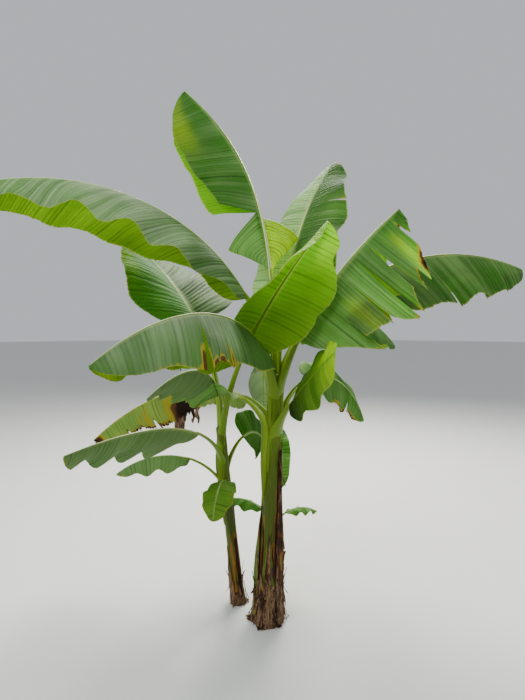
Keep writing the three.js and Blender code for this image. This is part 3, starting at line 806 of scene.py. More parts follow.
def midrib(leaf):
    """The midrib as a walk of short steps. Its heading turns evenly, its slope goes from rise
    to dip as share ** bend, and below the leaf's own height it runs down into the stem. The
    function that comes back gives the place, the direction and the blade's right and upper
    directions at distances in mm."""
    length = leaf["stalk"] + leaf["blade"]

    def directions(distance):
        """The direction along the midrib, and the level one to its right."""
        s = np.clip(distance / length, 0, 1)
        slope = leaf["rise"] + (leaf["dip"] - leaf["rise"]) * s ** leaf["bend"]
        slope = mix(slope, 90, smooth(0, -100, distance))
        up, turn = np.radians(slope), np.radians(leaf["heading"] + leaf["swing"] * s)
        flat = np.cos(up)
        along = np.stack([flat * np.cos(turn), flat * np.sin(turn), np.sin(up)], -1)
        side = np.stack([np.sin(turn), -np.cos(turn), np.zeros_like(turn)], -1)
        return along, side

    edges = np.linspace(-leaf["tail"], length, MIDRIB_STEPS + 1)
    middle = (edges[1:] + edges[:-1]) / 2
    step = edges[1] - edges[0]
    walk = np.vstack([np.zeros(3), np.cumsum(directions(middle)[0] * step, axis=0)])
    a = math.radians(leaf["heading"])
    out = leaf["out"] * np.array([math.cos(a), math.sin(a), 0])
    start = stem_axis(STEMS[leaf["stem"]], leaf["z"]) + out
    walk = walk + start - [np.interp(0, edges, walk[:, k]) for k in range(3)]

    def at(distance):
        """The place and the three directions at each distance."""
        distance = np.asarray(distance, float)
        along, side = directions(distance)
        t = (distance - leaf["stalk"]) / leaf["blade"]
        turned = leaf["roll"] * np.clip(distance / leaf["stalk"], 0, 1)
        turned = turned + leaf["twist"] * np.clip(t, 0, 1)
        roll = np.radians(turned)[..., None]
        up = np.cross(side, along)
        point = np.stack([np.interp(distance, edges, walk[:, k]) for k in range(3)], -1)
        right = side * np.cos(roll) + up * np.sin(roll)
        return point, along, right, up * np.cos(roll) - side * np.sin(roll)

    return at


def half_of(name, half):
    """A leaf's values for its left half, 0, or its right half, 1: that half's own out of each
    pair, the spots of its own side, a seed of its own and one that both halves share."""
    leaf = LEAVES[name]
    own = dict(leaf, half=half, seed=seed_of(name) + half, shared_seed=seed_of(name))
    for key in PAIRS:
        own[key] = leaf[key][half] if isinstance(leaf[key], list) else leaf[key]
    for key in SPOTS:
        own[key] = [spot[1:] for spot in leaf[key] if spot[0] == "LR"[half]]
    own["tears"].sort()
    return own


def profile(t, skew, tip):
    """Half width as a share of the widest: (1 - |x|^n)^(1/n) of x from -1 at the base to 1 at
    the tip, full towards the base and finer at the tip."""
    x = 2 * np.clip(t, 0, 1) ** skew - 1
    n = np.where(x < 0, 2.6, tip)
    return (1 - np.abs(x) ** n) ** (1 / n)


def half_width(own, t, along_mm, u):
    """The half's width in mm: its profile, less the bays that are trimmed from it and the
    nicks of a torn edge, which are squares of random heights."""
    nicks = np.maximum(0, wander(along_mm, own["seed"], APART["nick"])) ** 2
    nicks = nicks + 0.6 * np.maximum(0, wander(along_mm, own["seed"] + 2, APART["fine_nick"]))
    bare = own["bare"]
    w = own["width"] / 2 * own["share"] * profile((t - bare) / (1 - bare), own["skew"], own["tip"])
    w = w * smooth(bare, bare + own["neck"] + HAIR, t)
    for middle, reach, share in own["trim"]:
        w = w * (1 - share * bump(t, middle, reach))
    return np.maximum(own["root"] * 0.55, w) * (1 - own["nick"] * nicks * smooth(0.5, 1, u))


def section(fold, sag, w, u):
    """One half of a blade's section at the share u of the way out: a curve of length w that
    leaves the midrib at the angle fold and turns down by sag."""
    end = fold - sag * u
    return (np.sin(fold) - np.sin(end)) / sag * w, (np.cos(end) - np.cos(fold)) / sag * w


def hung_section(own, w, u, droop):
    """The section as in section(), with the part beyond the hinge turned down by droop."""
    fold = math.radians(own["fold"])
    sag = math.radians(own["sag"]) + 1e-4
    x, z = section(fold, sag, w, u)
    hinge_x, hinge_z = section(fold, sag, w, HINGE)
    turn = np.radians(droop) * (u > HINGE)
    dx, dz = x - hinge_x, z - hinge_z
    x = hinge_x + dx * np.cos(turn) + dz * np.sin(turn)
    z = hinge_z - dx * np.sin(turn) + dz * np.cos(turn)
    return x, z


def past_tear(t0, second, at):
    """1 past a tear's place along the blade and 0 before it. Of the tear's two rows at the
    same place, the second counts as past it."""
    return np.where(second, t0 >= at, t0 > at) + 0.0


def tear_apart(own, t0, t, u, second):
    """What the tears do to a half: each moves its two lips apart along the blade, less and
    less away from it, and lets the strip past it hang by an angle of its own. What comes back
    is the points' new places along the blade, their droop, the height of the curled lips, a
    random number for each strip, which sets its painted shade, and its painted glow: 1 where it
    is painted lime as if lit through, and below 0 where it is cool."""
    random = np.random.default_rng(own["seed"] + 50)
    droop = np.full_like(t, own["first_droop"])
    fresh = np.full_like(t, -float(own["cool"]))
    lip = np.zeros_like(t)
    strip = np.zeros_like(t)
    before = own["first_droop"]
    if own["first_pull"]:
        at = own["tears"][0][0]
        first = (1 - past_tear(t0, second, at)) * np.clip(t0 / at, 0, 1) * (u > HINGE)
        t = t - first * own["first_pull"] / own["blade"] * (u - HINGE)
        fresh = np.where(first > 0, own["first_fresh"], fresh)
    for at, kept, opening, angle in own["tears"]:
        past = past_tear(t0, second, at)
        torn = u > kept + HAIR
        strip = np.where((past > 0) & torn, random.uniform(-1, 1), strip)
        near = np.maximum(0, 1 - np.abs(t0 - at) / TEAR_REACH)
        pull = opening / 2 / own["blade"] * (u - kept) / (1 - kept) * near
        t = t + np.where(torn, np.where(past > 0, pull, -pull), 0)
        soft = smooth(at - TEAR_SOFT, at + TEAR_SOFT, t0)
        droop = droop + (angle - before) * mix(soft, past, smooth(kept, min(1, kept + 0.3), u))
        before = angle
        close = np.exp(-np.abs(t0 - at) * own["blade"] / LIP_REACH)
        curl = np.where(past > 0, random.uniform(*LIP_CURL), random.uniform(*LIP_CURL))
        lip = lip + torn * close * smooth(kept, 1, u) * curl
    return t, droop, lip, strip, fresh


def flutter(own, t0, second, u):
    """How far each torn strip stands off its blade in mm: the leaf's flutter times a tilt and
    a cup of the strip's own, growing outward from where its tears begin. The first strip lies
    still at the stalk, and the last at the tip."""
    random = np.random.default_rng(own["seed"] + 60)
    ends = [(0, 0.3), *[tear[:2] for tear in own["tears"]], (1, 0.3)]
    height = np.zeros_like(u)
    for k in range(len(ends) - 1):
        (low, kept_low), (high, kept_high) = ends[k], ends[k + 1]
        tilt, cup = random.uniform(-1, 1), random.uniform(-0.6, 1)
        inside = past_tear(t0, second, low) * (1 - past_tear(t0, second, high))
        share = (t0 - low) / (high - low)
        still = smooth(0, 0.8, share) if k == 0 else 1
        still = smooth(1, 0.2, share) if k == len(ends) - 2 else still
        bent = tilt * (2 * share - 1) + cup * (1 - (2 * share - 1) ** 2)
        kept = mix(kept_low, kept_high, np.clip(share, 0, 1))
        height = height + inside * bent * still * np.clip((u - kept) / (1 - kept), 0, 1) ** 1.5
    return own["flutter"] * height


def pleats(own, along_mm):
    """The pleats along the side veins: how high each point stands, 1 on a crest and lowest in
    a groove |sin| of its own depth, and a random number for each rib."""
    drift = 0.9 * wander(along_mm, own["seed"] + 4, APART["rib"])
    phase = along_mm / sizes().pleat_width * MM + drift
    numbers = np.random.default_rng(own["seed"] + 40).random(RANDOM_ROW)
    groove = 1 - np.abs(np.sin(np.pi * phase))
    which_groove = np.floor(phase + 0.5).astype(int)
    which_rib = np.floor(phase).astype(int) + FIRST_RIB
    crest = 1 - groove * (0.35 + 0.65 * numbers[which_groove % RANDOM_ROW])
    return crest, numbers[which_rib % RANDOM_ROW]


def blade_dryness(own, t0, along_mm, u, w, rib, blotch):
    """How far each point has withered: a little at the margin, more in each dry spot, along
    the lips of tears, and on some ribs of an old leaf."""
    ragged = wander(along_mm, own["seed"] + 12, APART["dry_margin"])
    dry = 0.1 * smooth(0.95, 1, u) * (1 + ragged)
    uneven = 0.06 * wander(along_mm, own["shared_seed"] + 14, APART["dry_spot"])
    for middle, reach, depth, strength in own["dry"]:
        inward = smooth(1 - depth, 1 - 0.35 * depth, u + uneven)
        dry = np.maximum(dry, strength * bump(t0, middle, reach) ** 0.5 * inward)
    patchy = np.clip(0.5 + wander(u * w, own["seed"] + 20, APART["dry_lip"]), 0, 1)
    for at, kept, _, _ in own["tears"]:
        close = np.exp(-np.abs(t0 - at) * own["blade"] / DRY_LIP) * (u > kept)
        dry = np.maximum(dry, close * patchy * mix(0.1, 0.55, u))
    streaks = own["streaks"] * smooth(0.45, 0.65, rib) * smooth(0.35, 0.45, t0)
    return np.maximum(dry, streaks * smooth(-0.5, 0.3, blotch))


def blade_rows(leaf):
    """Places along the blade: even steps, with each tear's place twice, once for each lip."""
    count = max(FEWEST_BLADE_ROWS, int(leaf["blade"] / BLADE_ROW))
    rows = np.linspace(0, 1, count + 1)
    for place in sorted({tear[1] for tear in leaf["tears"]}):
        rows = np.append(rows[np.abs(rows - place) > 0.5 / count], [place, place])
    return np.sort(rows)


def relief(own, t, along_mm, u, w, crest):
    """What stands up from a half's section in mm: its margin's waves, which grow with the
    square of the way out, its pleats, whose height drifts, and a soft drape. Here and there
    the margin hangs a little."""
    swell = np.sin(2 * np.pi * (own["waves"] * t + 0.2 * own["half"]))
    waves = own["wave"] * u**2 * swell * np.minimum(1, 2.4 * w / own["width"])
    lift = own["pleat"] * sizes().pleat_height / MM
    drift = 1.6 * wander(along_mm, own["seed"] + 6, APART["pleat"]) * u
    pleated = lift * (crest - 0.7 + drift) * smooth(0, 0.12, u) * (1 - 0.45 * u)
    drape = sizes().drape / MM * rolling(along_mm, u * w, own["seed"] + 8, *APART["drape"])
    hang = 5 * smooth(0.9, 1, u) * wander(along_mm, own["seed"] + 10, APART["margin"]) ** 2
    return waves + pleated + drape * smooth(0, 0.5, u) - hang


def blade_fields(own, t0, along_mm, u, w, strip, fresh, crest, rib):
    """The fields that colour a half. bloom_and_reflection, its wax and painted reflection of the
    sky, is uneven rib by rib and in blotches; fresh rises to 1 in each patch painted as
    lit through; tone, partly painted light and shade, is paler towards the tip and darker
    towards the stalk; crest is low in the pleats' grooves, which are darkened as painted shade;
    and across is the share of the way out, which is kept off the midrib where that isn't pale."""
    blotch = rolling(along_mm, u * w, own["seed"] + 16, *APART["blotch"])
    # bloom_and_reflection is the wax and painted reflection of the sky.
    bloom_and_reflection = 0.35 + own["stripes"] * (rib - 0.5) + 0.3 * blotch
    bloom_and_reflection = bloom_and_reflection + own["sheen"] - 0.4 * np.minimum(fresh, 0)
    # Each glow patch is painted lime, as light shining through.
    for middle, reach, start, strength in own["glow"]:
        lit = strength * bump(t0, middle, reach) * smooth(start - 0.15, start + 0.15, u)
        fresh = mix(fresh, 1, lit)
    # tone is partly painted light and shade: fade darkens it towards the stalk and pales it towards
    # the tip as painted shade, and strips darken or pale each torn strip at random as painted shade.
    tone = own["tone"] + own["fade"] * (t0 - 0.6)
    tone = tone - 0.02 * np.maximum(fresh, 0) + own["strips"] * strip
    across = np.maximum(u, 0.1 * (1 - own["pale_rib"]))
    dry = blade_dryness(own, t0, along_mm, u, w, rib, blotch)
    return dict(dry=dry, crest=crest + 0 * u, bloom_and_reflection=bloom_and_reflection, fresh=fresh, tone=tone, across=across)


def blade_half(name, half, rows):
    """One half of a blade, from the midrib out, as a grid of points. Each point is the
    midrib's place, plus the section's curve across it, plus a shift along it that sweeps the
    veins forward. The relief, the curled lips of tears and the flutter add to its height."""
    own = half_of(name, half)
    t0 = rows[:, None]
    u = np.broadcast_to(COLUMNS[None, :], (len(rows), len(COLUMNS)))
    second = np.append(False, np.diff(rows) == 0)[:, None]
    along_mm = t0 * own["blade"]
    forward = math.tan(math.radians(own["lean"])) * own["width"] / 2 / own["blade"]
    t = t0 + forward * 4 * t0 * (1 - t0) * u
    t, droop, lip, strip, fresh = tear_apart(own, t0, t, u, second)
    w = half_width(own, t, along_mm, u)
    crest, rib = pleats(own, along_mm)
    x, z = hung_section(own, w, u, droop)
    z = z + relief(own, t, along_mm, u, w, crest) + lip
    if own["tears"]:
        z = z + flutter(own, t0, second, u)
    point, along, right, up = midrib(own)(own["stalk"] + np.clip(t, 0, 1) * own["blade"])
    outward = 2 * half - 1
    swept = w * u * np.tan(np.radians(VEIN_SWEEP))
    place = point + right * (outward * x)[..., None] + up * z[..., None] + along * swept[..., None]
    uv = np.stack([along_mm + 0 * u, u * w], -1) * MM
    return place * MM, uv, blade_fields(own, t0, along_mm, u, w, strip, fresh, crest, rib)


def blade_surface(name, leaf):
    """Both halves of a blade as one sheet: the left half's columns from its margin in, then
    the right half's out. The two lips of a tear are joined again where it isn't torn."""
    rows = blade_rows(leaf)
    left_places, left_uv, left_fields = blade_half(name, 0, rows)
    right_places, right_uv, right_fields = blade_half(name, 1, rows)

    def side_by_side(left, right):
        """The left half's columns backwards without the midrib, then the right half's."""
        return np.concatenate([left[:, :0:-1], right], axis=1)

    places = side_by_side(left_places, right_places)
    uv = side_by_side(left_uv, right_uv)
    fields = {key: side_by_side(left_fields[key], right_fields[key]) for key in left_fields}
    columns = places.shape[1]
    outward = np.abs(np.arange(columns) - columns // 2)
    side = np.where(np.arange(columns) < columns // 2, "L", "R")
    index = np.arange(len(rows) * columns).reshape(len(rows), columns)
    joined = np.ones((len(rows) - 1, columns - 1), bool)
    for row in np.flatnonzero(np.diff(rows) == 0):
        kept = np.ones(columns, bool)
        for which, at, depth, *_ in leaf["tears"]:
            if at == rows[row]:
                kept &= (side != which) | (COLUMNS[outward] <= depth + HAIR)
        index[row + 1, kept] = index[row, kept]
        joined[row] = False
    return places.reshape(-1, 3), cells_between(index)[joined], uv.reshape(-1, 2), fields


def rag_surfaces(name):
    """Withered rags that hang from a leaf's left margin, a little inside it. Each starts at a
    place along the blade, sinks by its length, and narrows and swings about as it goes: its
    points are the margin's, less length times f in height, plus sines of f outward and
    along."""
    leaf = LEAVES[name]
    random = np.random.default_rng(RAG_SEED)
    rows = blade_rows(leaf)
    places, _, _ = blade_half(name, 0, rows)
    margin = places[:, -2] / MM
    f = np.linspace(0, 1, RAG_GRID[0])[None, :, None]
    share = np.linspace(-1, 1, RAG_GRID[1])[None, None, :]
    place, length, width = (np.array(column)[:, None, None] for column in zip(*RAGS))
    along = place + share * width / 2 / leaf["blade"] * (1 - 0.5 * f)
    along = along + 0.012 * np.sin(5 * f + 40 * place) * f
    points = np.stack([np.interp(along, rows, margin[:, k]) for k in range(3)], -1)
    crumple = random.uniform(*RAG_CRUMPLE, (len(RAGS), 1, 1))
    out = crumple * np.sin(9 * f + 2.2 * share + 60 * place) * f + 14 * f * share * np.sin(4 * f)
    points[..., 1] -= out + 4
    points[..., 2] -= length * f * (1 - 0.08 * share**2) - 5 * np.sin(3 * share + 50 * place) * f
    cells = grid_cells(*RAG_GRID, count=len(RAGS))
    uv = np.stack(np.broadcast_arrays(along * leaf["blade"] * MM, length * f * MM), -1)
    dry = 0.75 + 0.35 * f + 0 * along
    return points.reshape(-1, 3) * MM, cells, uv.reshape(-1, 2), {"dry": dry.ravel()}


def stalk_surface(name, leaf):
    """Rings along a whole leaf: the stalk's foot inside the stem, the grooved stalk, and the
    midrib that thins to the tip. A ring is an ellipse whose top is pressed in by a
    bell-shaped groove, and its middle hangs below the blade by half its own height."""
    total = leaf["stalk"] + leaf["blade"]
    last = total * STALK_END
    distance = np.append(np.arange(-leaf["tail"], last, STALK_ROW), last)
    point, _, right, up = midrib(leaf)(distance)
    f = np.clip(distance / leaf["stalk"], 0, 1)
    t = np.clip((distance - leaf["stalk"]) / leaf["blade"], 0, 1)
    sunk = smooth(0, -170, distance)
    low = np.clip(-distance / leaf["tail"], 0, 1)
    r = leaf["root"] * mix(1, STALK_TOP, f**0.7) * mix(1, MIDRIB_TIP, t**0.75)
    r = r * (1 + leaf["bulk"] * (1 - f))
    r = r * (1 - 0.9 * low**2.5)
    wide = r * mix(*STALK_WIDE, f) * mix(1, 1.5, sunk)
    high = r * mix(*STALK_HIGH, f) * mix(1, 0.55, sunk)
    a = np.linspace(0, 2 * np.pi, STALK_ROUND, endpoint=False)[None, :]
    depth = sizes().groove * mix(1, 0.35, smooth(0, 0.5, t)) * (1 - sunk)
    groove = 1 - depth[:, None] * np.exp(-((np.cos(a) / 0.5) ** 2)) * (np.sin(a) > 0)
    x = wide[:, None] * np.cos(a)
    z = high[:, None] * np.sin(a) * groove
    on_blade = smooth(-0.02, 0.03, t) * (t > 0)
    z = z - (high * 0.5 * smooth(0, 40, distance - leaf["stalk"]))[:, None]
    z = z + 0.25 * (wander(distance, seed_of(name), 30) * (1 - on_blade))[:, None]
    rings = point[:, None] + right[:, None] * x[..., None] + up[:, None] * z[..., None]
    lip = np.exp(-(((np.abs(np.cos(a)) - 0.72) / 0.2) ** 2)) * (np.sin(a) > 0)
    lip, down, low = np.broadcast_arrays(lip, t[:, None], low[:, None])
    uv = np.stack(np.broadcast_arrays(distance[:, None], a * leaf["root"]), -1) * MM
    top = np.broadcast_to(np.maximum(0, np.sin(a)), down.shape) * leaf["pale_rib"]
    dry = (leaf["look"] == "old") * 0.35 * down
    fields = {"lip": lip * (1 - low), "along": down, "top": top, "dry": dry, "low": low}
    return rings * MM, uv, fields


# Nodes for the materials


def shade(text):
    """A colour of six hex digits as linear red, green, blue and 1."""
    s = np.array([int(text[k : k + 2], 16) for k in (0, 2, 4)]) / 255
    return (*np.where(s <= 0.04045, s / 12.92, ((s + 0.055) / 1.055) ** 2.4).tolist(), 1.0)


def colour(name):
    """One of the colours that a user can change, as red, green, blue and 1."""
    return (*getattr(bpy.context.scene.banana_colours, name), 1.0)


def node(tree, kind, inputs=None, **settings):
    """A new node whose inputs are set to numbers or joined to other nodes' outputs."""
    made = tree.nodes.new("ShaderNode" + kind)
    for key, value in settings.items():
        setattr(made, key, value)
    for key, value in (inputs or {}).items():
        if isinstance(value, bpy.types.NodeSocket):
            tree.links.new(value, made.inputs[key])
        else:
            made.inputs[key].default_value = value
    return made


def blend(tree, factor, a, b, how="MIX"):
    """Colour a mixed with colour b by the factor, in the way that how names."""
    return node(tree, "Mix", {0: factor, 6: a, 7: b}, data_type="RGBA", blend_type=how).outputs[2]


def tinted(tree, base, factors):
    """A colour whose red, green and blue are each multiplied by a factor."""
    return blend(tree, 1.0, base, factors, "MULTIPLY")


def times(tree, a, b):
    """The product of two values."""
    return node(tree, "Math", {0: a, 1: b}, operation="MULTIPLY").outputs[0]


def plus(tree, a, b):
    """The sum of two values."""
    return node(tree, "Math", {0: a, 1: b}, operation="ADD").outputs[0]


def at_most(tree, a, b):
    """The lesser of two values."""
    return node(tree, "Math", {0: a, 1: b}, operation="MINIMUM").outputs[0]


def s_curve(tree, value, low, high):
    """0 where the value is low, 1 where it is high, and an s-curve between them."""
    made = node(tree, "MapRange", {0: value, 1: low, 2: high}, interpolation_type="SMOOTHSTEP")
    return made.outputs[0]


def noise(tree, place, scale, detail, rough=0.5):
    """Random values round 0.5 that change smoothly from place to place."""
    inputs = {"Vector": place, "Scale": scale, "Detail": detail, "Roughness": rough}
    return node(tree, "TexNoise", inputs).outputs["Fac"]


def field(tree, name):
    """A field of the piece: the value that each of its points has under that name."""
    return node(tree, "Attribute", attribute_name=name).outputs["Fac"]


def own_place(tree):
    """The place on the piece in its own coordinates."""
    return node(tree, "TexCoord").outputs["Object"]


def along_and_across(tree):
    """The distances along a leaf and across it from its midrib, which its UV map holds."""
    place = node(tree, "SeparateXYZ", {0: node(tree, "UVMap", uv_map="Along").outputs[0]})
    return place.outputs[0], place.outputs[1]


def stretched(tree, x, y, z):
    """A place for noise from three values."""
    return node(tree, "CombineXYZ", {0: x, 1: y, 2: z}).outputs[0]


# Effects that materials share, as node groups


def new_group(name, inputs, outputs):
    """An empty node group. Each input is given with its default, a number or a colour, and
    each output with its kind of socket. The group comes back with its input node's outputs
    and its output node's inputs."""
    group = bpy.data.node_groups.new(name, "ShaderNodeTree")
    for key, value in inputs.items():
        kind = "NodeSocketColor" if isinstance(value, tuple) else "NodeSocketFloat"
        socket = group.interface.new_socket(key, in_out="INPUT", socket_type=kind)
        socket.default_value = value
    for key, kind in outputs.items():
        group.interface.new_socket(key, in_out="OUTPUT", socket_type="NodeSocket" + kind)
    given = group.nodes.new("NodeGroupInput").outputs
    return group, given, group.nodes.new("NodeGroupOutput").inputs


def place_group(tree, name, make, inputs):
    """The outputs of a node group placed in a tree. The first time, the group is made."""
    group = bpy.data.node_groups.get(name) or make(name)
    return node(tree, "Group", inputs, node_tree=group).outputs


def veins_group(name):
    """Side veins as fine lines and broader bands that lie across the blade: noise that is
    narrow along the midrib and stretched from it to the margin."""
    outputs = {"Lines": "Float", "Bands": "Float", "Height": "Float"}
    group, given, put = new_group(name, {"Along": 0.0, "Across": 0.0}, outputs)
    at = stretched(group, given["Along"], times(group, given["Across"], 0.05), 0.0)
    lines = s_curve(group, noise(group, at, scale=420.0, detail=2.0), 0.35, 0.65)
    bands = s_curve(group, noise(group, at, scale=75.0, detail=3.0, rough=0.6), 0.38, 0.66)
    height = plus(group, times(group, bands, 0.7), times(group, lines, 0.3))
    group.links.new(lines, put["Lines"])
    group.links.new(bands, put["Bands"])
    group.links.new(height, put["Height"])
    return group


def wither_group(name):
    """Withering in three steps, each a mask: first yellow, then brown, then nearly black. The
    edge of each runs along the veins and is uneven."""
    outputs = {"Yellow": "Float", "Brown": "Float", "Black": "Float"}
    group, given, put = new_group(name, {"Dry": 0.0, "Along": 0.0, "Across": 0.0}, outputs)
    at = stretched(group, given["Along"], times(group, given["Across"], 0.35), 3.0)
    uneven = plus(group, noise(group, at, scale=60.0, detail=4.0, rough=0.65), -0.5)
    begun = s_curve(group, given["Dry"], 0.0, 0.3)
    value = plus(group, given["Dry"], times(group, times(group, uneven, 0.7), begun))
    group.links.new(s_curve(group, value, 0.12, 0.4), put["Yellow"])
    group.links.new(s_curve(group, value, 0.5, 0.68), put["Brown"])
    group.links.new(s_curve(group, value, 0.8, 1.05), put["Black"])
    return group


def fibres_group(name):
    """Fibres that run up a stem: noise on the object's own coordinates, squeezed in height."""
    outputs = {"Streaks": "Float", "Patches": "Float", "Height": "Float"}
    group, given, put = new_group(name, {"Scale": 300.0}, outputs)
    place = own_place(group)
    thin = node(group, "Mapping", {"Vector": place, "Scale": (1.0, 1.0, 0.035)}).outputs[0]
    wide = node(group, "Mapping", {"Vector": place, "Scale": (1.0, 1.0, 0.12)}).outputs[0]
    fine = noise(group, thin, scale=given["Scale"], detail=3.0, rough=0.6)
    broad = noise(group, wide, scale=45.0, detail=4.0, rough=0.6)
    streaks = s_curve(group, fine, 0.35, 0.65)
    patches = s_curve(group, broad, 0.38, 0.62)
    height = plus(group, times(group, streaks, 0.6), times(group, patches, 0.4))
    group.links.new(streaks, put["Streaks"])
    group.links.new(patches, put["Patches"])
    group.links.new(height, put["Height"])
    return group


def old_sheath_group(name):
    """Old sheath from its green: orange, then brown, with black and at last pale streaks."""
    inputs = {"Green": (0.0, 0.0, 0.0, 1.0), "Dry": 0.0, "Streaks": 0.0}
    group, given, put = new_group(name, inputs, {"Color": "Color"})
    dry = given["Dry"]
    base = blend(group, s_curve(group, dry, 0.3, 0.45), given["Green"], colour("husk_orange"))
    base = blend(group, s_curve(group, dry, 0.45, 0.58), base, colour("husk_brown"))
    late = s_curve(group, dry, 0.72, 0.95)
    dark = blend(group, late, colour("husk_black"), colour("husk_pale"))
    streaks = times(group, given["Streaks"], s_curve(group, dry, 0.4, 0.65))
    group.links.new(blend(group, streaks, base, dark), put["Color"])
    return group


def veins(tree, along, across):
    """The side veins' lines, bands and height."""
    return place_group(tree, "Leaf veins", veins_group, {"Along": along, "Across": across})


def fibres(tree, scale):
    """The fibres' streaks, patches and height."""
    return place_group(tree, "Fibres", fibres_group, {"Scale": scale})


def aged(tree, green, dry, streaks):
    """The colour of old sheath that was green and has withered by dry."""
    inputs = {"Green": green, "Dry": dry, "Streaks": streaks}
    return place_group(tree, "Old sheath", old_sheath_group, inputs)["Color"]


def withered(tree, base, along, across):
    """A leaf's colour withered by its field "dry", in three steps, and the mask of the brown."""
    inputs = {"Dry": field(tree, "dry"), "Along": along, "Across": across}
    masks = place_group(tree, "Withering", wither_group, inputs)
    base = blend(tree, masks["Yellow"], base, colour("dry_yellow"))
    base = blend(tree, masks["Brown"], base, colour("dry_brown"))
    return blend(tree, masks["Black"], base, colour("dry_black")), masks["Brown"]


# Materials


def skin(name, build, *given):
    """The material of that name. The first time, build adds its nodes."""
    if name in bpy.data.materials:
        return bpy.data.materials[name]
    material = bpy.data.materials.new(name)
    material.use_nodes = True
    material.node_tree.nodes.clear()
    build(material.node_tree, *given)
    return material


def surface(tree, base, rough, height, depth, through=None, share=0.0):
    """The finish: a Principled surface with bumps depth metres deep. Where through is given, a
    share of it is light that shines through the leaf in that colour."""
    bumps = node(tree, "Bump", {"Height": height, "Distance": depth, "Strength": 1.0}).outputs[0]
    given = {"Base Color": base, "Roughness": rough, "Specular IOR Level": 0.22, "Normal": bumps}
    shader = node(tree, "BsdfPrincipled", given).outputs[0]
    if through is not None:
        lit = node(tree, "BsdfTranslucent", {"Color": through, "Normal": bumps}).outputs[0]
        shader = node(tree, "MixShader", {0: share, 1: shader, 2: lit}).outputs[0]
    node(tree, "OutputMaterial", {"Surface": shader})


def build_blade(tree, look):
    """A leaf blade: its upper colour, paled by its wax and by painted reflection of the sky, on
    one face, and its lower colour, partly its own and partly painted glow of light shining
    through, on the other. It is banded along the veins, darker in the pleats' grooves as
    painted shade, lighter or darker by its tone, partly painted light and shade, paler by the
    midrib, with a yellow line at the margin and withered parts. Where the glow is painted it is
    lime, and where it is cool its lower face is as the upper one, without the painted glow."""
    along, across = along_and_across(tree)
    vein = veins(tree, along, across)
    # The upper face pales with its wax and with painted reflection of the sky.
    bloom_and_reflection = s_curve(tree, field(tree, "bloom_and_reflection"), 0.0, 1.0)
    upper = blend(tree, bloom_and_reflection, colour(look + "_upper"), colour(look + "_bloom"))
    # The lower face's colour is partly its own and partly painted glow of light shining through;
    # fresh paints lime where light shines through, and cool leaves the painted glow off.
    fresh = field(tree, "fresh")
    lower_face_and_glow = times(tree, field(tree, "under"), plus(tree, 1.0, at_most(tree, fresh, 0.0)))
    base = blend(tree, lower_face_and_glow, upper, colour(look + "_under"))
    base = blend(tree, fresh, base, colour("fresh"))
    # Painted shade: the pleats' grooves are darkened where crest is low.
    fold = s_curve(tree, field(tree, "crest"), 0.85, 0.1)
    fold = times(tree, fold, plus(tree, 0.6, times(tree, vein["Bands"], 0.4)))
    base = blend(tree, times(tree, fold, 0.8), base, tinted(tree, base, FOLD_SHADE))
    base = blend(tree, times(tree, vein["Lines"], 0.35), base, tinted(tree, base, VEIN_LIGHT))
    # tone is partly the leaf's own green and partly painted light and shade; the spots are random.
    spots = plus(tree, noise(tree, own_place(tree), scale=5.0, detail=2.0), -0.5)
    tone = plus(tree, field(tree, "tone"), spots)
    value = plus(tree, 1.0, times(tree, tone, 0.5))
    base = node(tree, "HueSaturation", {"Value": value, "Color": base}).outputs[0]
    out = field(tree, "across")
    base = blend(tree, times(tree, s_curve(tree, out, 0.09, 0.0), 0.6), base, colour("midrib"))
    base = blend(tree, times(tree, s_curve(tree, out, 0.975, 0.995), 0.6), base, colour("rim"))
    base, brown = withered(tree, base, along, across)
    rough = plus(tree, 0.55, times(tree, brown, 0.35))
    glow = blend(tree, times(tree, fresh, -1.0), colour("glow"), DULL_GLOW)
    through = tinted(tree, base, glow)
    surface(tree, base, rough, vein["Height"], depth=0.0012, through=through, share=0.6)


def build_stalk(tree):
    """A leaf stalk and its midrib: green flanks, bright lips along the groove, and a pale
    stripe where it runs on top of the blade."""
    fibre = fibres(tree, scale=420.0)
    streaks = times(tree, fibre["Streaks"], 0.35)
    base = blend(tree, streaks, colour("stalk"), colour("stalk_dark"))
    base = blend(tree, times(tree, field(tree, "lip"), 0.7), base, colour("stalk_lip"))
    sunk = s_curve(tree, field(tree, "low"), 0.05, 0.6)
    base = blend(tree, sunk, base, colour("stem_yellow"))
    on_blade = s_curve(tree, field(tree, "along"), 0.0, 0.12)
    top = times(tree, on_blade, s_curve(tree, field(tree, "top"), 0.1, 0.5))
    base = blend(tree, top, base, colour("midrib"))
    base, brown = withered(tree, base, *along_and_across(tree))
    rough = plus(tree, 0.34, times(tree, brown, 0.4))
    surface(tree, base, rough, fibre["Height"], depth=0.0006)


def build_stem(tree):
    """A stem of wrapped sheaths: each sheath its own green, with a brown paper-thin margin,
    fine fibres, and withered brown where it is old."""
    fibre = fibres(tree, scale=260.0)
    tone = s_curve(tree, field(tree, "tone"), -1.0, 1.0)
    base = blend(tree, tone, colour("stem_green"), colour("stem_yellow"))
    streaks = times(tree, fibre["Streaks"], 0.55)
    base = blend(tree, streaks, base, tinted(tree, base, STREAK_SHADE))
    base = blend(tree, times(tree, field(tree, "margin"), 0.85), base, colour("husk_black"))
    dry = plus(tree, field(tree, "dry"), times(tree, fibre["Patches"], 0.12))
    base = aged(tree, base, dry, fibre["Streaks"])
    rough = plus(tree, 0.4, times(tree, s_curve(tree, dry, 0.3, 0.6), 0.45))
    surface(tree, base, rough, fibre["Height"], depth=0.0015)


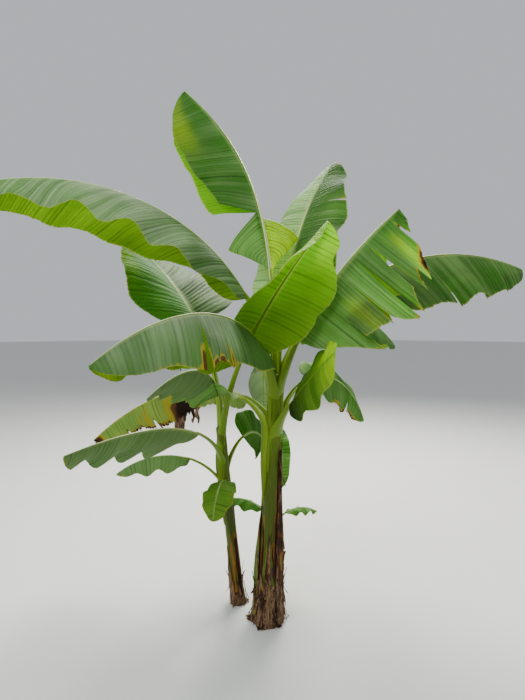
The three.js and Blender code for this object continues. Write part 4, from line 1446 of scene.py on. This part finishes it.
def build_husk(tree):
    """An old sheath: green where it is still alive, and streaked orange, brown, black and
    pale straw where it has withered."""
    fibre = fibres(tree, scale=240.0)
    uneven = times(tree, plus(tree, fibre["Patches"], -0.5), 0.35)
    dry = plus(tree, field(tree, "dry"), uneven)
    streaks = times(tree, fibre["Streaks"], 0.6)
    green = blend(tree, streaks, colour("stem_green"), colour("stem_yellow"))
    base = aged(tree, green, dry, fibre["Streaks"])
    rough = plus(tree, 0.5, times(tree, s_curve(tree, dry, 0.3, 0.6), 0.35))
    surface(tree, base, rough, fibre["Height"], depth=0.002)


def build_floor(tree):
    """The plain floor: one colour with a faint grain."""
    grain = noise(tree, own_place(tree), scale=3.0, detail=2.0)
    base = blend(tree, grain, colour("floor"), tinted(tree, colour("floor"), FLOOR_SHADE))
    surface(tree, base, 0.9, grain, depth=0.001)


# What a user can change


def tint(text, label, note):
    """A colour property from six hex digits."""
    return FloatVectorProperty(
        name=label, description=note, default=shade(text)[:3], size=3, min=0, max=4, subtype="COLOR"
    )


def measure(metres, label, note):
    """A length property in metres."""
    return FloatProperty(name=label, description=note, default=metres, min=0, unit="LENGTH")


class BananaSizes(bpy.types.PropertyGroup):
    """The sizes of the plant's fine detail and of the floor"""

    blade_thickness: measure(0.0014, "Blade thickness", "Thickness of a leaf blade")
    pleat_height: measure(0.0026, "Pleats", "Height of the pleats along the side veins")
    pleat_width: measure(0.02, "Pleat width", "Distance from one side vein to the next")
    drape: measure(0.004, "Drape", "Height of the blades' soft unevenness")
    husk_thickness: measure(0.0022, "Husk thickness", "Thickness of an old sheath")
    floor_radius: measure(40.0, "Floor radius", "Radius of the pale floor")
    groove: FloatProperty(
        name="Groove", description="Depth of a stalk's groove as a share of its height", default=0.85
    )
    fibre_count: IntProperty(
        name="Fibres", description="Torn strips round the foot of the main stem", default=120
    )


class BananaColours(bpy.types.PropertyGroup):
    """The colours of the plant and of the floor"""

    # Each look's bloom colour is partly its wax and partly painted reflection of the sky.
    young_upper: tint("6CA01C", "Young, upper", "Upper face of a young blade")
    young_bloom: tint("90C040", "Young, bloom", "Paler bands of the upper face")
    # Each look's lower colour is partly its own paler green and partly painted glow of light shining
    # through.
    young_under: tint("94C41C", "Young, under", "Lower face of a young blade")
    mature_upper: tint("4C8826", "Mature, upper", "Upper face of a grown blade")
    mature_bloom: tint("8CB26A", "Mature, bloom", "Paler bands of the upper face")
    mature_under: tint("93BE1C", "Mature, under", "Lower face of a grown blade")
    grey_upper: tint("5F8A44", "Grey, upper", "Upper face of a blade with a waxy bloom")
    grey_bloom: tint("AEC4A0", "Grey, bloom", "Paler bands of the upper face")
    grey_under: tint("9BC812", "Grey, under", "Lower face of a blade with a waxy bloom")
    old_upper: tint("8CB654", "Old, upper", "Upper face of an old blade")
    old_bloom: tint("B4BE5A", "Old, bloom", "Paler bands of the upper face")
    old_under: tint("A6B032", "Old, under", "Lower face of an old blade")
    # fresh is lime painted where light shines through a blade.
    fresh: tint("BEDC00", "Fresh", "A strip so thin that the light shines through it")
    glow: tint("FFFFA0", "Glow", "Tint of the light that shines through a blade")
    midrib: tint("D6E2A0", "Midrib", "Top of the midrib")
    rim: tint("C8CE6A", "Rim", "Thin line at a blade's margin")
    dry_yellow: tint("BFB53A", "Yellowed", "First step of withering")
    dry_brown: tint("7A5634", "Browned", "Second step of withering")
    dry_black: tint("35261B", "Blackened", "Last step of withering")
    stalk: tint("68880E", "Stalk", "Flanks of a leaf stalk")
    stalk_dark: tint("42600E", "Stalk, streaks", "Darker streaks of a leaf stalk")
    stalk_lip: tint("A0B82C", "Stalk, lips", "Bright lips of a stalk's groove")
    stem_green: tint("445208", "Stem, green", "Greenest sheath of a stem")
    stem_yellow: tint("607A08", "Stem, yellow", "Yellowest sheath of a stem")
    husk_brown: tint("402414", "Husk, brown", "Withered sheath")
    husk_black: tint("140E0A", "Husk, black", "Darkest streaks of a withered sheath")
    husk_orange: tint("8E5A18", "Husk, orange", "Sheath that has begun to wither")
    husk_pale: tint("8A6E50", "Husk, pale", "Straw-coloured fibres")
    floor: tint("D8D8D4", "Floor", "The plain floor")


# The pieces


class AddStems(bpy.types.Operator):
    """Adds the three stems as tubes of wrapped sheaths"""

    bl_idname = "banana.add_stems"
    bl_label = "Stems"

    def execute(self, context):
        material = skin("stem_skin", build_stem)
        for name in STEMS:
            piece = tube_piece("stem_" + name, stem_surface(name), material)
            finish_piece(piece, "pseudostem", "pseudostem_" + name)
        return {"FINISHED"}


class AddOldSheaths(bpy.types.Operator):
    """Adds the loose old sheaths, and the torn strips round the feet of the stems"""

    bl_idname = "banana.add_old_sheaths"
    bl_label = "Old sheaths"

    def execute(self, context):
        material = skin("husk_skin", build_husk)
        for name, sheath in SHEATHS.items():
            sheet = sheath_surface(name, sheath)
            piece = thin_piece("husk_" + name, sheet, sizes().husk_thickness, material)
            finish_piece(piece, "old_sheath", name)
        for name, strips in STRIPS.items():
            piece = thin_piece(name, strip_surfaces(**strips), FINE_THICKNESS, material)
            finish_piece(piece, "old_sheath")
        return {"FINISHED"}


class AddStalks(bpy.types.Operator):
    """Adds each leaf's stalk together with the midrib that it runs on into"""

    bl_idname = "banana.add_stalks"
    bl_label = "Stalks"

    def execute(self, context):
        material = skin("stalk_skin", build_stalk)
        for name, leaf in LEAVES.items():
            piece = tube_piece("stalk_of_" + name, stalk_surface(name, leaf), material)
            finish_piece(piece, "leaf_stalk", "stalk_" + name)
        return {"FINISHED"}


class AddBlades(bpy.types.Operator):
    """Adds each leaf's blade as a thin shell with its tears, pleats and withered parts"""

    bl_idname = "banana.add_blades"
    bl_label = "Blades"

    def execute(self, context):
        for name, leaf in LEAVES.items():
            look = leaf["look"]
            material = skin("blade_skin_" + look, build_blade, look)
            sheet = blade_surface(name, leaf)
            piece = thin_piece("leaf_" + name, sheet, sizes().blade_thickness, material)
            finish_piece(piece, "blade_" + look, "blade_" + name)
        material = skin("husk_skin", build_husk)
        piece = thin_piece("rags_" + RAGGED_LEAF, rag_surfaces(RAGGED_LEAF), FINE_THICKNESS, material)
        finish_piece(piece, "old_sheath")
        return {"FINISHED"}


def add_floor():
    """The floor: a round fan of triangles, a little under the ground's plane."""
    a = np.linspace(0, 2 * np.pi, FLOOR_ROUND, endpoint=False)
    circle = np.stack([np.cos(a), np.sin(a), 0 * a], -1) * sizes().floor_radius
    points = np.vstack([circle, np.zeros(3)]) - np.array([0, 0, FLOOR_DROP])
    k = np.arange(FLOOR_ROUND)
    fan = np.stack([k, np.roll(k, -1), np.full(FLOOR_ROUND, FLOOR_ROUND)], -1)
    no_quads = np.empty((0, 4), int)
    material = skin("floor", build_floor)
    return make_piece("floor", points, no_quads, fan, points[:, :2], {}, material)


def add_lamp(scene, name, place, target, size, power, tone):
    """A square lamp at a place, turned so that its light falls on the target."""
    lamp = bpy.data.lights.new(name, "AREA")
    lamp.size = size
    lamp.energy = power
    lamp.color = tone
    holder = bpy.data.objects.new(name, lamp)
    scene.collection.objects.link(holder)
    holder.location = place
    x, y, z = (np.array(target) - np.array(place)).tolist()
    holder.rotation_euler = (math.atan2(math.hypot(x, y), -z), 0, math.atan2(-x, y))


def add_camera(scene):
    """The camera: it looks along +Y from the photo's place, turned down a little."""
    camera = bpy.data.objects.new("camera", bpy.data.cameras.new("camera"))
    scene.collection.objects.link(camera)
    camera.location = CAMERA["place"]
    camera.rotation_euler = (math.radians(90 - CAMERA["down"]), 0, 0)
    camera.data.sensor_width = CAMERA["sensor"]
    camera.data.lens = CAMERA["lens"]
    scene.camera = camera


class AddStage(bpy.types.Operator):
    """Adds the plain floor, the soft light and the camera"""

    bl_idname = "banana.add_stage"
    bl_label = "Stage"

    def execute(self, context):
        add_floor()
        for name, lamp in LAMPS.items():
            add_lamp(context.scene, name, **lamp)
        world = bpy.data.worlds.new("soft_sky")
        world.use_nodes = True
        background = world.node_tree.nodes["Background"]
        background.inputs["Color"].default_value = SKY
        background.inputs["Strength"].default_value = SKY_STRENGTH
        context.scene.world = world
        add_camera(context.scene)
        return {"FINISHED"}


class BananaPanel(bpy.types.Panel):
    """Lists the pieces, sizes and colours"""

    bl_idname = "VIEW3D_PT_banana"
    bl_label = "Banana Plant"
    bl_space_type = "VIEW_3D"
    bl_region_type = "UI"
    bl_category = "Banana"

    def draw(self, context):
        for operator in STEPS:
            self.layout.operator(operator.bl_idname)
        for group in (context.scene.banana_sizes, context.scene.banana_colours):
            for key in group.bl_rna.properties.keys():
                if key not in ("rna_type", "name"):
                    self.layout.prop(group, key)


STEPS = (AddStage, AddStems, AddOldSheaths, AddStalks, AddBlades)
CLASSES = (BananaSizes, BananaColours, *STEPS, BananaPanel)


def register():
    """Makes the classes and the scene's properties known."""
    for each in CLASSES:
        bpy.utils.register_class(each)
    bpy.types.Scene.banana_sizes = PointerProperty(type=BananaSizes)
    bpy.types.Scene.banana_colours = PointerProperty(type=BananaColours)


def unregister():
    """Takes away what register made known."""
    del bpy.types.Scene.banana_colours
    del bpy.types.Scene.banana_sizes
    for each in reversed(CLASSES):
        bpy.utils.unregister_class(each)


def main():
    """Builds the stage and the plant."""
    register()
    bpy.ops.banana.add_stage()
    bpy.ops.banana.add_stems()
    bpy.ops.banana.add_old_sheaths()
    bpy.ops.banana.add_stalks()
    bpy.ops.banana.add_blades()


if __name__ == "__main__":
    main()
